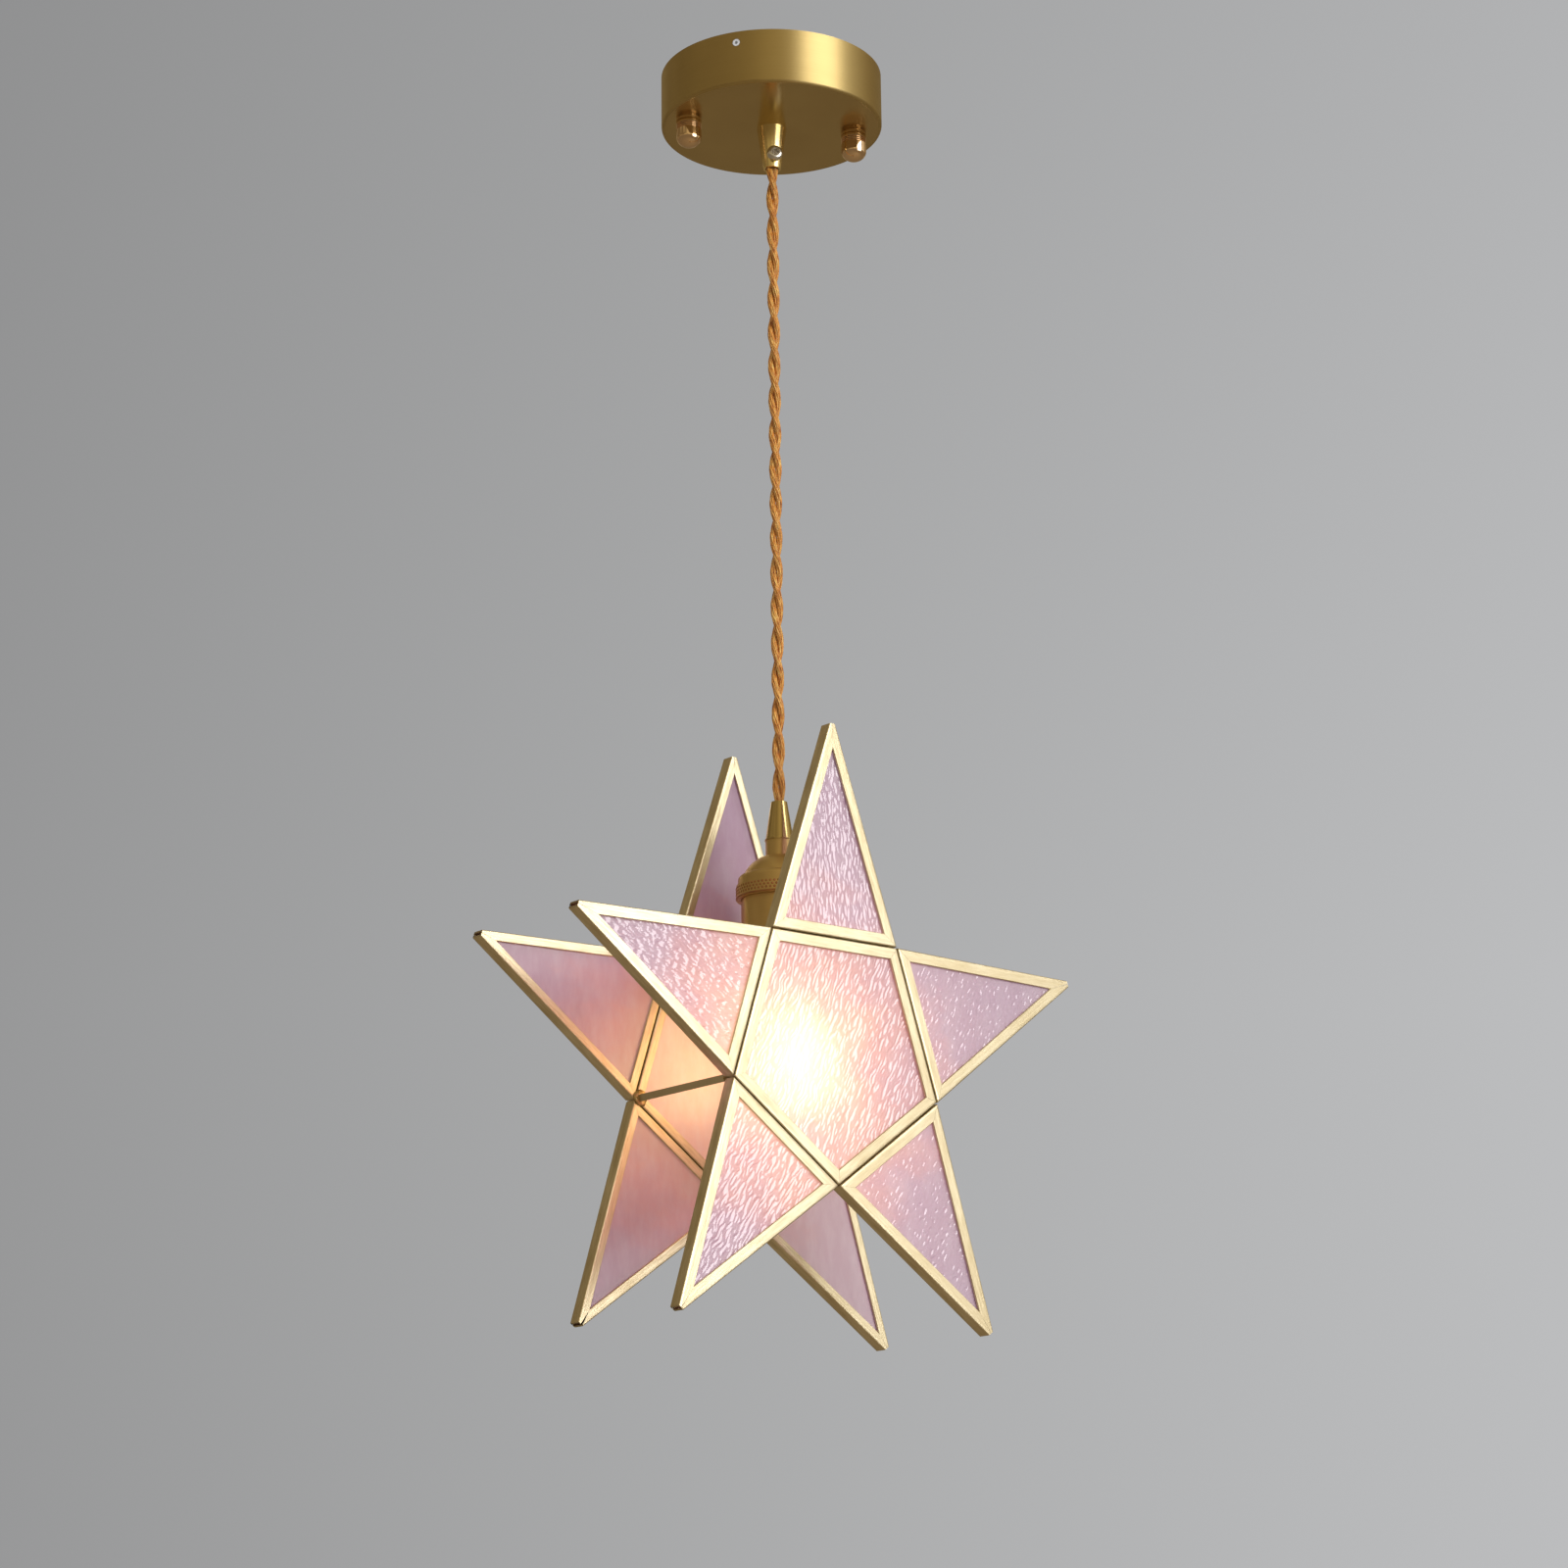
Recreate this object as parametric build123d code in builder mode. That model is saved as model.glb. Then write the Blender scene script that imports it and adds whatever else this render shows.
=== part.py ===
from build123d import *
import math
import os

# Star lantern pendant. Millimetres, +Z up. The origin is the middle of the ceiling
# bracket's upper face, on the cord's axis. +X runs along the star's width and the
# front star faces -Y. The lantern hangs plumb below the canopy.

os.makedirs("parts", exist_ok=True)

# ---- clearances ------------------------------------------------------------------
fit_gap = 0.1  # a screw or spigot in its plain hole, radial
slip_gap = 0.2  # cord in a grip, ring over a shell, radial
bulb_gap = 0.3  # lamp cap in the contact sleeve, and tip to centre contact
pane_gap = 0.3  # glass edge to the bottom of its channel
tail_gap = 1.0  # bending room between a clamped tail and the free cord
core_gap = 0.3  # end of the lower tail above the lampholder's core

# ---- canopy and ceiling bracket --------------------------------------------------
canopy_d = 100.0
canopy_h = 25.2
canopy_wall = 1.0
canopy_edge_r = 1.2

bracket_turn = -26.4  # degrees about Z, from the star's width to the bracket's length
bracket_l = 92.0
bracket_w = 24.0
bracket_t = 2.0
ceiling_hole_pcd = 56.0
ceiling_hole_d = 5.0
supply_hole_d = 9.0

stud_spacing = 76.6
stud_d = 4.0
stud_flange_d = 8.0
stud_flange_t = 1.5
stud_engage = 7.0  # thread length inside each cap nut

nut_d = 11.4
nut_collar_h = 1.5
nut_groove_count = 3
nut_groove_pitch = 0.9
nut_groove_w = 0.5
nut_groove_d = 10.2
nut_edge_down = 10.0  # from the canopy to the edge of the domed end
nut_dome_h = 2.0

side_screw_turn = -147.0
side_screw_drop = 5.2  # below the ceiling
side_screw_d = 3.3
side_screw_l = 7.0
side_socket_d = 1.65
side_socket_deep = 1.6
side_nut_af = 6.0
side_nut_t = 2.4

block_l = 22.0
block_w = 14.0
block_h = 12.0
block_edge_r = 1.5
block_shift = 13.5  # from the bracket's middle, along its length
block_screw_d = 3.2
block_screw_l = 5.0
block_pitch = 10.0
earth_screw_d = 4.0
earth_head_d = 8.0
earth_head_h = 2.4
earth_screw_l = 7.0

# ---- cord and its two conical grips ----------------------------------------------
cord_d = 5.6
cord_length = 296.4

nipple_d = 9.8
nipple_nut_af = 14.0
nipple_nut_t = 3.0
nipple_over_nut = 2.0

top_grip_base_d = 13.4
top_grip_mouth_d = 7.9
top_grip_h = 19.5
grip_screw_turn = -117.0
grip_screw_up = 5.3  # axis above the mouth of the upper grip
grip_screw_d = 3.0
grip_screw_head_d = 7.0
grip_screw_head_h = 2.6
grip_screw_stand = 0.6  # gap under the head
grip_recess_l = 3.0
grip_recess_w = 1.0
grip_recess_deep = 1.3
head_round_r = 1.5

low_grip_mouth_d = 7.0
low_grip_base_d = 12.2
low_grip_h = 17.3
low_grip_rim_d = 12.9
low_grip_rim_h = 0.5
low_grip_spigot_l = 6.0
low_screw_turn = 77.0
low_screw_down = 10.5
low_screw_d = 2.6
low_screw_l = 4.4

# ---- lampholder --------------------------------------------------------------------
collar_d = 12.1
collar_h = 7.4
dome_top_d = 15.4
dome_drop = 8.0
dome_bottom_d = 31.6
dome_mid_out = 0.62  # a point on the dome's curve, as shares of its width and drop
dome_mid_down = 0.42
bead_d = 36.2
bead_h = 4.6
band_d = 37.6
band_h = 6.2
cap_wall = 1.0
cap_roof_t = 1.5  # round the grip's spigot

shell_d = 33.5
shell_wall = 1.0
shell_lap = 8.0  # length of shell inside the cap
shell_below_band = 31.5
shoulder_d = 36.4
shoulder_h = 2.5
shoulder_down = 15.4  # top of the shoulder below the band

strap_t = 1.5
strap_w = 46.0
strap_tab_h = 10.0
ring_d = 39.0
ring_h = 5.0

core_head_h = 8.0
core_inset = 1.0  # core's rim above the shell's rim
sleeve_wall = 0.55
sleeve_h = 20.0
contact_d = 9.0
contact_t = 1.2

# ---- bulb, a small opal globe on a 27 mm cap ---------------------------------------
bulb_cap_d = 26.3
bulb_cap_h = 21.0
bulb_cap_wall = 0.6
bulb_shoulder_h = 2.0
bulb_neck_end_d = 15.0
bulb_insulator_h = 1.5
bulb_tip_d = 9.5
bulb_tip_h = 1.0
globe_d = 45.0
globe_drop = 30.5  # cap rim down to the globe's centre
globe_wall = 1.0
globe_neck_lap = 6.0  # length of the neck inside the cap
globe_neck_flare = 18.0  # degrees from the neck's width to where the globe begins

# ---- the two stars -------------------------------------------------------------------
star_spacing = 67.4  # between the mid-planes of the front and back stars
inner_r = 57.85  # centre to each inner corner
point_r = 144.6  # centre to where a point's two edges would meet
tip_cut = 4.3  # taken square off the sharp end of each point
came_t = 6.1
came_w = 5.0
came_wall = 0.8
came_gap = 0.6
glass_t = 4.0

strut_side = 3.0
strut_inset = 3.0  # strut's axis inside the inner corner
solder_d = 7.2
solder_top_d = 4.6
solder_h = 1.2

point_names = ["top", "upper_right", "lower_right", "lower_left", "upper_left"]
corner_names = ["upper_right", "right", "bottom", "left", "upper_left"]
point_turn = 360.0 / len(point_names)

# ---- heights that follow -------------------------------------------------------------
canopy_floor = -canopy_h
tail_top_z = -bracket_t - block_h
top_mouth_z = canopy_floor - top_grip_h
low_mouth_z = top_mouth_z - cord_length
low_grip_base_z = low_mouth_z - low_grip_h
collar_top_z = low_grip_base_z
collar_base_z = collar_top_z - collar_h
bead_top_z = collar_base_z - dome_drop
band_top_z = bead_top_z - bead_h
band_base_z = band_top_z - band_h
shell_rim_z = band_base_z - shell_below_band
shoulder_top_z = band_base_z - shoulder_down
strap_top_z = shoulder_top_z - shoulder_h
ring_top_z = strap_top_z - strap_t
core_rim_z = shell_rim_z + core_inset

# The strap's tabs are soldered over the seam between the middle and the top came.
apothem = inner_r * math.cos(math.radians(point_turn / 2))
star_z = strap_top_z - strap_tab_h / 2 - apothem

shell_r = shell_d / 2
core_r = shell_r - shell_wall - slip_gap
sleeve_bore_r = bulb_cap_d / 2 + bulb_gap
sleeve_r = sleeve_bore_r + sleeve_wall
core_bore_r = sleeve_r + fit_gap
core_ceiling_z = band_base_z - core_head_h
contact_face_z = core_ceiling_z - contact_t
bulb_tip_z = contact_face_z - bulb_gap
bulb_insulator_z = bulb_tip_z - bulb_tip_h
bulb_shoulder_z = bulb_insulator_z - bulb_insulator_h
bulb_cap_top_z = bulb_shoulder_z - bulb_shoulder_h
bulb_cap_rim_z = bulb_cap_top_z - bulb_cap_h
globe_z = bulb_cap_rim_z - globe_drop

grip_bore_d = cord_d + 2 * slip_gap
stud_clear_d = stud_d + 2 * fit_gap
face_clear = star_spacing / 2 - came_t / 2  # from the mid-plane to a star's inner face
groove_t = came_t - 2 * came_wall
tip_cut_r = point_r - tip_cut

bracket_line = Plane.XY.rotated((0, 0, bracket_turn))


def ring_between(outer_d, inner_d, z_top, height):
    """A plain ring or sleeve on the cord's axis."""
    with BuildPart() as ring:
        with BuildSketch(Plane.XY.offset(z_top)):
            Circle(outer_d / 2)
            if inner_d > 0:
                Circle(inner_d / 2, mode=Mode.SUBTRACT)
        extrude(amount=-height)
    return ring.part


def turned(points):
    """A solid turned about the Z axis from a closed (radius, height) profile."""
    with BuildPart() as solid:
        with BuildSketch(Plane.XZ):
            with BuildLine():
                Polyline(*points, close=True)
            make_face()
        revolve(axis=Axis.Z)
    return solid.part


def write(part, name):
    part.label = name
    export_step(part, f"parts/{name}.step")


# ======================================================================================
# Ceiling mount
# ======================================================================================

# Flat steel strip. Two screws hold it to the ceiling, and the supply comes through
# its middle. The studs stand near its ends.
with BuildPart() as ceiling_bracket:
    with BuildSketch(bracket_line):
        SlotOverall(bracket_l, bracket_w)
        with GridLocations(ceiling_hole_pcd, 0, 2, 1):
            Circle(ceiling_hole_d / 2, mode=Mode.SUBTRACT)
        with GridLocations(stud_spacing, 0, 2, 1):
            Circle(stud_clear_d / 2, mode=Mode.SUBTRACT)
        with Locations((-block_shift, 0)):
            Circle(earth_screw_d / 2 + fit_gap, mode=Mode.SUBTRACT)
        Circle(supply_hole_d / 2, mode=Mode.SUBTRACT)
    extrude(amount=-bracket_t)
write(ceiling_bracket.part, "ceiling_bracket")

# Each stud's flange bears on the strip from below, with its riveted spigot in the hole.
stud_end_z = canopy_floor - stud_engage
with BuildPart() as bracket_studs:
    with BuildSketch(bracket_line):
        with GridLocations(stud_spacing, 0, 2, 1):
            Circle(stud_d / 2)
    extrude(amount=stud_end_z)
    with BuildSketch(bracket_line.offset(-bracket_t)):
        with GridLocations(stud_spacing, 0, 2, 1):
            Circle(stud_flange_d / 2)
    extrude(amount=-stud_flange_t)
write(bracket_studs.part, "bracket_studs")

# Spun cup, open at the ceiling.
side_screw_axis = Plane(
    origin=(0, 0, -side_screw_drop),
    x_dir=(0, 0, 1),
    z_dir=(math.cos(math.radians(side_screw_turn)), math.sin(math.radians(side_screw_turn)), 0),
)
with BuildPart() as canopy_cup:
    with BuildSketch():
        Circle(canopy_d / 2)
    extrude(amount=canopy_floor)
    fillet(canopy_cup.edges().sort_by(Axis.Z)[0], canopy_edge_r)
    offset(amount=-canopy_wall, openings=canopy_cup.faces().sort_by(Axis.Z)[-1])
    with BuildSketch(Plane.XY.offset(canopy_floor)):
        Circle(nipple_d / 2 + fit_gap)
    extrude(amount=canopy_wall, mode=Mode.SUBTRACT)
    with BuildSketch(bracket_line.offset(canopy_floor)):
        with GridLocations(stud_spacing, 0, 2, 1):
            Circle(stud_clear_d / 2)
    extrude(amount=canopy_wall, mode=Mode.SUBTRACT)
    with BuildSketch(side_screw_axis):
        Circle(side_screw_d / 2 + fit_gap)
    extrude(amount=canopy_d, mode=Mode.SUBTRACT)
write(canopy_cup.part, "canopy_cup")

# Cap nuts: a collar, a few turned grooves, then a plain barrel with a rounded end.
nut_r = nut_d / 2
nut_h = nut_edge_down + nut_dome_h
with BuildPart() as cap_nut:
    with BuildSketch(Plane.XZ):
        with Locations((0, -nut_edge_down)):
            Ellipse(nut_r, nut_dome_h)
        Rectangle(nut_d, nut_edge_down, align=(Align.CENTER, Align.MAX))
        Rectangle(nut_r, 2 * nut_h, align=(Align.MIN, Align.CENTER), mode=Mode.INTERSECT)
    revolve(axis=Axis.Z)
    for k in range(nut_groove_count):
        with BuildSketch(Plane.XY.offset(-nut_collar_h - k * nut_groove_pitch)):
            Circle(nut_r)
            Circle(nut_groove_d / 2, mode=Mode.SUBTRACT)
        extrude(amount=-nut_groove_w, mode=Mode.SUBTRACT)
    with BuildSketch():
        Circle(stud_clear_d / 2)
    extrude(amount=-stud_engage - fit_gap, mode=Mode.SUBTRACT)
with BuildPart() as cap_nuts:
    with Locations(bracket_line.offset(canopy_floor)):
        with GridLocations(stud_spacing, 0, 2, 1):
            add(cap_nut.part)
write(cap_nuts.part, "cap_nuts")

# Grub screw in the cup's side wall, held by a nut inside.
wall_inside = canopy_d / 2 - canopy_wall
with BuildPart() as canopy_side_screw:
    with BuildSketch(side_screw_axis.offset(canopy_d / 2 - side_screw_l)):
        Circle(side_screw_d / 2)
    extrude(amount=side_screw_l)
    with BuildSketch(side_screw_axis.offset(canopy_d / 2)):
        RegularPolygon(side_socket_d / 2, 6)
    extrude(amount=-side_socket_deep, mode=Mode.SUBTRACT)
write(canopy_side_screw.part, "canopy_side_screw")

with BuildPart() as canopy_side_nut:
    with BuildSketch(side_screw_axis.offset(wall_inside - slip_gap)):
        RegularPolygon(side_nut_af / 2, 6, major_radius=False)
        Circle(side_screw_d / 2 + fit_gap, mode=Mode.SUBTRACT)
    extrude(amount=-side_nut_t)
write(canopy_side_nut.part, "canopy_side_nut")

# Connector under the strip: a moulded block with four clamping screws.
block_line = bracket_line.offset(-bracket_t)
block_rows = block_w - 2 * block_screw_d
with BuildPart() as terminal_block:
    with BuildSketch(block_line):
        with Locations((block_shift, 0)):
            Rectangle(block_w, block_l)
    extrude(amount=-block_h)
    fillet(terminal_block.edges().filter_by(Axis.Z), block_edge_r)
    with BuildSketch(block_line.offset(-block_h)):
        with Locations((block_shift, 0)):
            with GridLocations(block_rows, block_pitch, 2, 2):
                Circle(block_screw_d / 2 + fit_gap)
    extrude(amount=block_screw_l, mode=Mode.SUBTRACT)
write(terminal_block.part, "terminal_block")

with BuildPart() as terminal_screws:
    with BuildSketch(block_line.offset(-block_h + block_screw_l)):
        with Locations((block_shift, 0)):
            with GridLocations(block_rows, block_pitch, 2, 2):
                Circle(block_screw_d / 2)
    extrude(amount=-block_screw_l)
write(terminal_screws.part, "terminal_screws")

with BuildPart() as earth_screw:
    with BuildSketch(bracket_line):
        with Locations((-block_shift, 0)):
            Circle(earth_screw_d / 2)
    extrude(amount=-earth_screw_l)
    with BuildSketch(block_line):
        with Locations((-block_shift, 0)):
            Circle(earth_head_d / 2)
    extrude(amount=-earth_head_h)
write(earth_screw.part, "earth_screw")


# ======================================================================================
# Cord and grips
# ======================================================================================

def grip_screw_plane(turn, height):
    """The plane across a set screw's axis, facing away from the cord."""
    angle = math.radians(turn)
    return Plane(
        origin=(0, 0, height), x_dir=(0, 0, 1), z_dir=(math.cos(angle), math.sin(angle), 0)
    )


# Upper grip: a cone under the canopy with a hollow nipple through its floor.
nipple_top_z = canopy_floor + canopy_wall + nipple_nut_t + nipple_over_nut
top_screw_axis = grip_screw_plane(grip_screw_turn, top_mouth_z + grip_screw_up)
with BuildPart() as canopy_cord_grip:
    add(
        turned(
            [
                (grip_bore_d / 2, nipple_top_z),
                (nipple_d / 2, nipple_top_z),
                (nipple_d / 2, canopy_floor),
                (top_grip_base_d / 2, canopy_floor),
                (top_grip_mouth_d / 2, top_mouth_z),
                (grip_bore_d / 2, top_mouth_z),
            ]
        )
    )
    with BuildSketch(top_screw_axis):
        Circle(grip_screw_d / 2 + fit_gap)
    extrude(amount=top_grip_base_d, mode=Mode.SUBTRACT)
write(canopy_cord_grip.part, "canopy_cord_grip")

# Pan head with a cross recess; its tip bears on the cord.
screw_share = grip_screw_up / top_grip_h
cone_r_at_screw = (top_grip_mouth_d + (top_grip_base_d - top_grip_mouth_d) * screw_share) / 2
head_seat = cone_r_at_screw + grip_screw_stand
with BuildPart() as canopy_grip_screw:
    with BuildSketch(top_screw_axis.offset(cord_d / 2)):
        Circle(grip_screw_d / 2)
    extrude(amount=head_seat - cord_d / 2)
    with BuildSketch(top_screw_axis.offset(head_seat)):
        Circle(grip_screw_head_d / 2)
    extrude(amount=grip_screw_head_h)
    head_edges = canopy_grip_screw.edges().filter_by(GeomType.CIRCLE).group_by(SortBy.RADIUS)[-1]
    fillet(head_edges.sort_by_distance(Vector(0, 0, top_screw_axis.origin.Z))[-1], head_round_r)
    with BuildSketch(top_screw_axis.offset(head_seat + grip_screw_head_h)):
        Rectangle(grip_recess_l, grip_recess_w)
        Rectangle(grip_recess_w, grip_recess_l)
    extrude(amount=-grip_recess_deep, mode=Mode.SUBTRACT)
write(canopy_grip_screw.part, "canopy_grip_screw")

with BuildPart() as canopy_grip_nut:
    with BuildSketch(Plane.XY.offset(canopy_floor + canopy_wall)):
        RegularPolygon(nipple_nut_af / 2, 6, major_radius=False)
        Circle(nipple_d / 2 + fit_gap, mode=Mode.SUBTRACT)
    extrude(amount=nipple_nut_t)
write(canopy_grip_nut.part, "canopy_grip_nut")

# The cord's clamped ends run on through the grips to the terminals.
tail_foot_z = top_mouth_z + tail_gap
write(
    ring_between(cord_d, 0, tail_top_z, tail_top_z - tail_foot_z),
    "cord_tail_in_canopy",
)

# The free stretch hangs straight between the two grips.
with BuildPart() as pendant_cord:
    with BuildSketch(Plane.XY.offset(top_mouth_z)):
        Circle(cord_d / 2)
    extrude(amount=-cord_length)
write(pendant_cord.part, "pendant_cord")

# Lower grip: the same kind of cone upside down, with a thin rim and a hollow spigot.
low_spigot_z = low_grip_base_z - low_grip_spigot_l
low_screw_axis = grip_screw_plane(low_screw_turn, low_mouth_z - low_screw_down)
spigot_r = nipple_d / 2
with BuildPart() as lampholder_cord_grip:
    add(
        turned(
            [
                (grip_bore_d / 2, low_mouth_z),
                (low_grip_mouth_d / 2, low_mouth_z),
                (low_grip_base_d / 2, low_grip_base_z + low_grip_rim_h),
                (low_grip_rim_d / 2, low_grip_base_z + low_grip_rim_h),
                (low_grip_rim_d / 2, low_grip_base_z),
                (spigot_r, low_grip_base_z),
                (spigot_r, low_spigot_z),
                (grip_bore_d / 2, low_spigot_z),
            ]
        )
    )
    with BuildSketch(low_screw_axis):
        Circle(low_screw_d / 2 + fit_gap)
    extrude(amount=low_grip_base_d, mode=Mode.SUBTRACT)
write(lampholder_cord_grip.part, "lampholder_cord_grip")

with BuildPart() as lampholder_grip_screw:
    with BuildSketch(low_screw_axis.offset(cord_d / 2)):
        Circle(low_screw_d / 2)
    extrude(amount=low_screw_l)
write(lampholder_grip_screw.part, "lampholder_grip_screw")

low_tail_z = low_mouth_z - tail_gap
write(
    ring_between(cord_d, 0, low_tail_z, low_tail_z - band_base_z - core_gap),
    "cord_tail_in_lampholder",
)


# ======================================================================================
# Lampholder
# ======================================================================================

# Cap: collar, dome, rolled bead and the wide band that laps the shell.
band_bore_r = shell_r + slip_gap
cap_bore_r = spigot_r + fit_gap
cap_roof_z = collar_base_z - cap_roof_t
dome_mid_d = dome_top_d + (dome_bottom_d - dome_top_d) * dome_mid_out
dome_mid_z = collar_base_z - dome_drop * dome_mid_down
with BuildPart() as lampholder_cap:
    with BuildSketch(Plane.XZ):
        with BuildLine():
            Polyline(
                (cap_bore_r, collar_top_z),
                (collar_d / 2, collar_top_z),
                (collar_d / 2, collar_base_z),
                (dome_top_d / 2, collar_base_z),
            )
            ThreePointArc(
                (dome_top_d / 2, collar_base_z),
                (dome_mid_d / 2, dome_mid_z),
                (dome_bottom_d / 2, bead_top_z),
            )
            TangentArc(
                (dome_bottom_d / 2, bead_top_z),
                (bead_d / 2, bead_top_z - bead_h / 2),
                tangent=(1, 0),
            )
            Polyline(
                (bead_d / 2, bead_top_z - bead_h / 2),
                (bead_d / 2, band_top_z),
                (band_d / 2, band_top_z),
                (band_d / 2, band_base_z),
                (band_bore_r, band_base_z),
                (band_bore_r, bead_top_z - bead_h / 2),
                (dome_bottom_d / 2 - cap_wall, bead_top_z - cap_wall),
            )
            ThreePointArc(
                (dome_bottom_d / 2 - cap_wall, bead_top_z - cap_wall),
                (dome_mid_d / 2 - cap_wall, dome_mid_z - cap_wall),
                (cap_bore_r, cap_roof_z),
            )
            Line((cap_bore_r, cap_roof_z), (cap_bore_r, collar_top_z))
        make_face()
    revolve(axis=Axis.Z)
write(lampholder_cap.part, "lampholder_cap")

# Shell: a straight tube with the shoulder that stops the strap.
with BuildPart() as lampholder_shell:
    with BuildSketch(Plane.XY.offset(shell_rim_z)):
        Circle(shell_r)
        Circle(shell_r - shell_wall, mode=Mode.SUBTRACT)
    extrude(amount=band_base_z + shell_lap - shell_rim_z)
    with BuildSketch(Plane.XY.offset(strap_top_z)):
        Circle(shoulder_d / 2)
        Circle(shell_r - shell_wall, mode=Mode.SUBTRACT)
    extrude(amount=shoulder_h)
write(lampholder_shell.part, "lampholder_shell")

# Ceramic core, with the threaded sleeve and the centre contact inside it.
with BuildPart() as lampholder_core:
    with BuildSketch(Plane.XY.offset(core_rim_z)):
        Circle(core_r)
    extrude(amount=band_base_z - core_rim_z)
    with BuildSketch(Plane.XY.offset(core_rim_z)):
        Circle(core_bore_r)
    extrude(amount=core_ceiling_z - core_rim_z, mode=Mode.SUBTRACT)
write(lampholder_core.part, "lampholder_core")

write(
    ring_between(2 * sleeve_r, 2 * sleeve_bore_r, core_ceiling_z, sleeve_h),
    "contact_sleeve",
)
write(ring_between(contact_d, 0, core_ceiling_z, contact_t), "centre_contact")
write(
    ring_between(ring_d, shell_d + 2 * slip_gap, ring_top_z, ring_h),
    "shade_ring",
)

# Strap: a flat plate round the shell, with a tab soldered to each star's inner face.
with BuildPart() as lamp_strap:
    with BuildSketch(Plane.XY.offset(strap_top_z)):
        Rectangle(strap_w, 2 * face_clear)
        Circle(shell_r + slip_gap, mode=Mode.SUBTRACT)
    extrude(amount=-strap_t)
    with BuildSketch(Plane.XY.offset(strap_top_z)):
        with GridLocations(0, 2 * face_clear - strap_t, 1, 2):
            Rectangle(strap_w, strap_t)
    extrude(amount=-strap_tab_h)
write(lamp_strap.part, "lamp_strap")


# ======================================================================================
# Bulb
# ======================================================================================

bulb_cap_r = bulb_cap_d / 2
with BuildPart() as bulb_cap:
    add(
        turned(
            [
                (0, bulb_cap_rim_z),
                (bulb_cap_r, bulb_cap_rim_z),
                (bulb_cap_r, bulb_cap_top_z),
                (bulb_neck_end_d / 2, bulb_shoulder_z),
                (0, bulb_shoulder_z),
            ]
        )
    )
    offset(amount=-bulb_cap_wall, openings=bulb_cap.faces().sort_by(Axis.Z)[0])
write(bulb_cap.part, "bulb_cap")
write(
    turned(
        [
            (0, bulb_shoulder_z),
            (bulb_neck_end_d / 2, bulb_shoulder_z),
            (bulb_tip_d / 2, bulb_insulator_z),
            (0, bulb_insulator_z),
        ]
    ),
    "bulb_insulator",
)
write(ring_between(bulb_tip_d, 0, bulb_tip_z, bulb_tip_h), "bulb_tip")

# Thin opal globe. Its neck is cemented inside the cap's rim.
globe_r = globe_d / 2
neck_r = bulb_cap_r - bulb_cap_wall - fit_gap
neck_end_z = bulb_cap_rim_z + globe_neck_lap
flare_angle = math.asin(neck_r / globe_r) + math.radians(globe_neck_flare)


def globe_half(inset):
    """Half of the globe's outline, as a face on the axis, with its neck open upward."""
    ball_r = globe_r - inset
    tube_r = neck_r - inset
    flare_end = (ball_r * math.sin(flare_angle), globe_z + ball_r * math.cos(flare_angle))
    with BuildSketch(Plane.XZ) as half:
        with BuildLine():
            Polyline((0, neck_end_z), (tube_r, neck_end_z), (tube_r, bulb_cap_rim_z))
            TangentArc((tube_r, bulb_cap_rim_z), flare_end, tangent=(0, -1))
            ThreePointArc(flare_end, (ball_r, globe_z), (0, globe_z - ball_r))
            Line((0, globe_z - ball_r), (0, neck_end_z))
        make_face()
    return half.sketch


with BuildPart() as bulb_globe:
    revolve(globe_half(0), axis=Axis.Z)
    revolve(globe_half(globe_wall), axis=Axis.Z, mode=Mode.SUBTRACT)
write(bulb_globe.part, "bulb_globe")


# ======================================================================================
# Stars
# ======================================================================================

def star_plane(side):
    """A star's mid-plane, facing -Y. side is -1 for the front star, +1 for the back."""
    return Plane(
        origin=(0, side * star_spacing / 2, star_z), x_dir=(1, 0, 0), z_dir=(0, -1, 0)
    )


def polar(radius, degrees):
    angle = math.radians(degrees)
    return (radius * math.cos(angle), radius * math.sin(angle))


def pentagon_outline():
    """The middle pane's came, with half the gap taken off every side."""
    outline_r = (apothem - came_gap / 2) / math.cos(math.radians(point_turn / 2))
    return [polar(outline_r, 90 - point_turn * (k + 0.5)) for k in range(5)]


def point_outline(turn):
    """One point's came: its base stands half the gap off the middle pane."""
    half_base = inner_r * math.sin(math.radians(point_turn / 2))
    base = apothem + came_gap / 2
    half_width = half_base * (point_r - base) / (point_r - apothem)
    corners = [(base, -half_width), (point_r, 0), (base, half_width)]
    axis = math.radians(90 - turn)
    return [
        (u * math.cos(axis) - v * math.sin(axis), u * math.sin(axis) + v * math.cos(axis))
        for u, v in corners
    ]


def tip_plane(middle, turn):
    """The plane that cuts a point's tip square, facing outward."""
    x, y = polar(tip_cut_r, 90 - turn)
    dx, dy = polar(1, 90 - turn)
    tip = middle.from_local_coords(Vector(x, y, 0))
    return Plane(origin=tip, z_dir=middle.from_local_coords(Vector(x + dx, y + dy, 0)) - tip)


def inset_outline(plane, outline, inset):
    """An outline as a face, taken in by the same amount on every side."""
    with BuildSketch(plane) as face:
        with BuildLine():
            Polyline(*outline, close=True)
        make_face()
        if inset > 0:
            offset(amount=-inset, kind=Kind.INTERSECTION, mode=Mode.REPLACE)
    return face.sketch


def make_came(middle, outline, turn=None):
    """A U channel folded round a pane: window, flanges and the glass groove."""
    with BuildPart() as came:
        extrude(inset_outline(middle, outline, 0), amount=came_t / 2, both=True)
        window = inset_outline(middle, outline, came_w)
        extrude(window, amount=came_t / 2, both=True, mode=Mode.SUBTRACT)
        groove = inset_outline(middle, outline, came_wall)
        extrude(groove, amount=groove_t / 2, both=True, mode=Mode.SUBTRACT)
        if turn is not None:
            split(bisect_by=tip_plane(middle, turn), keep=Keep.BOTTOM)
    return came.part


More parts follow.
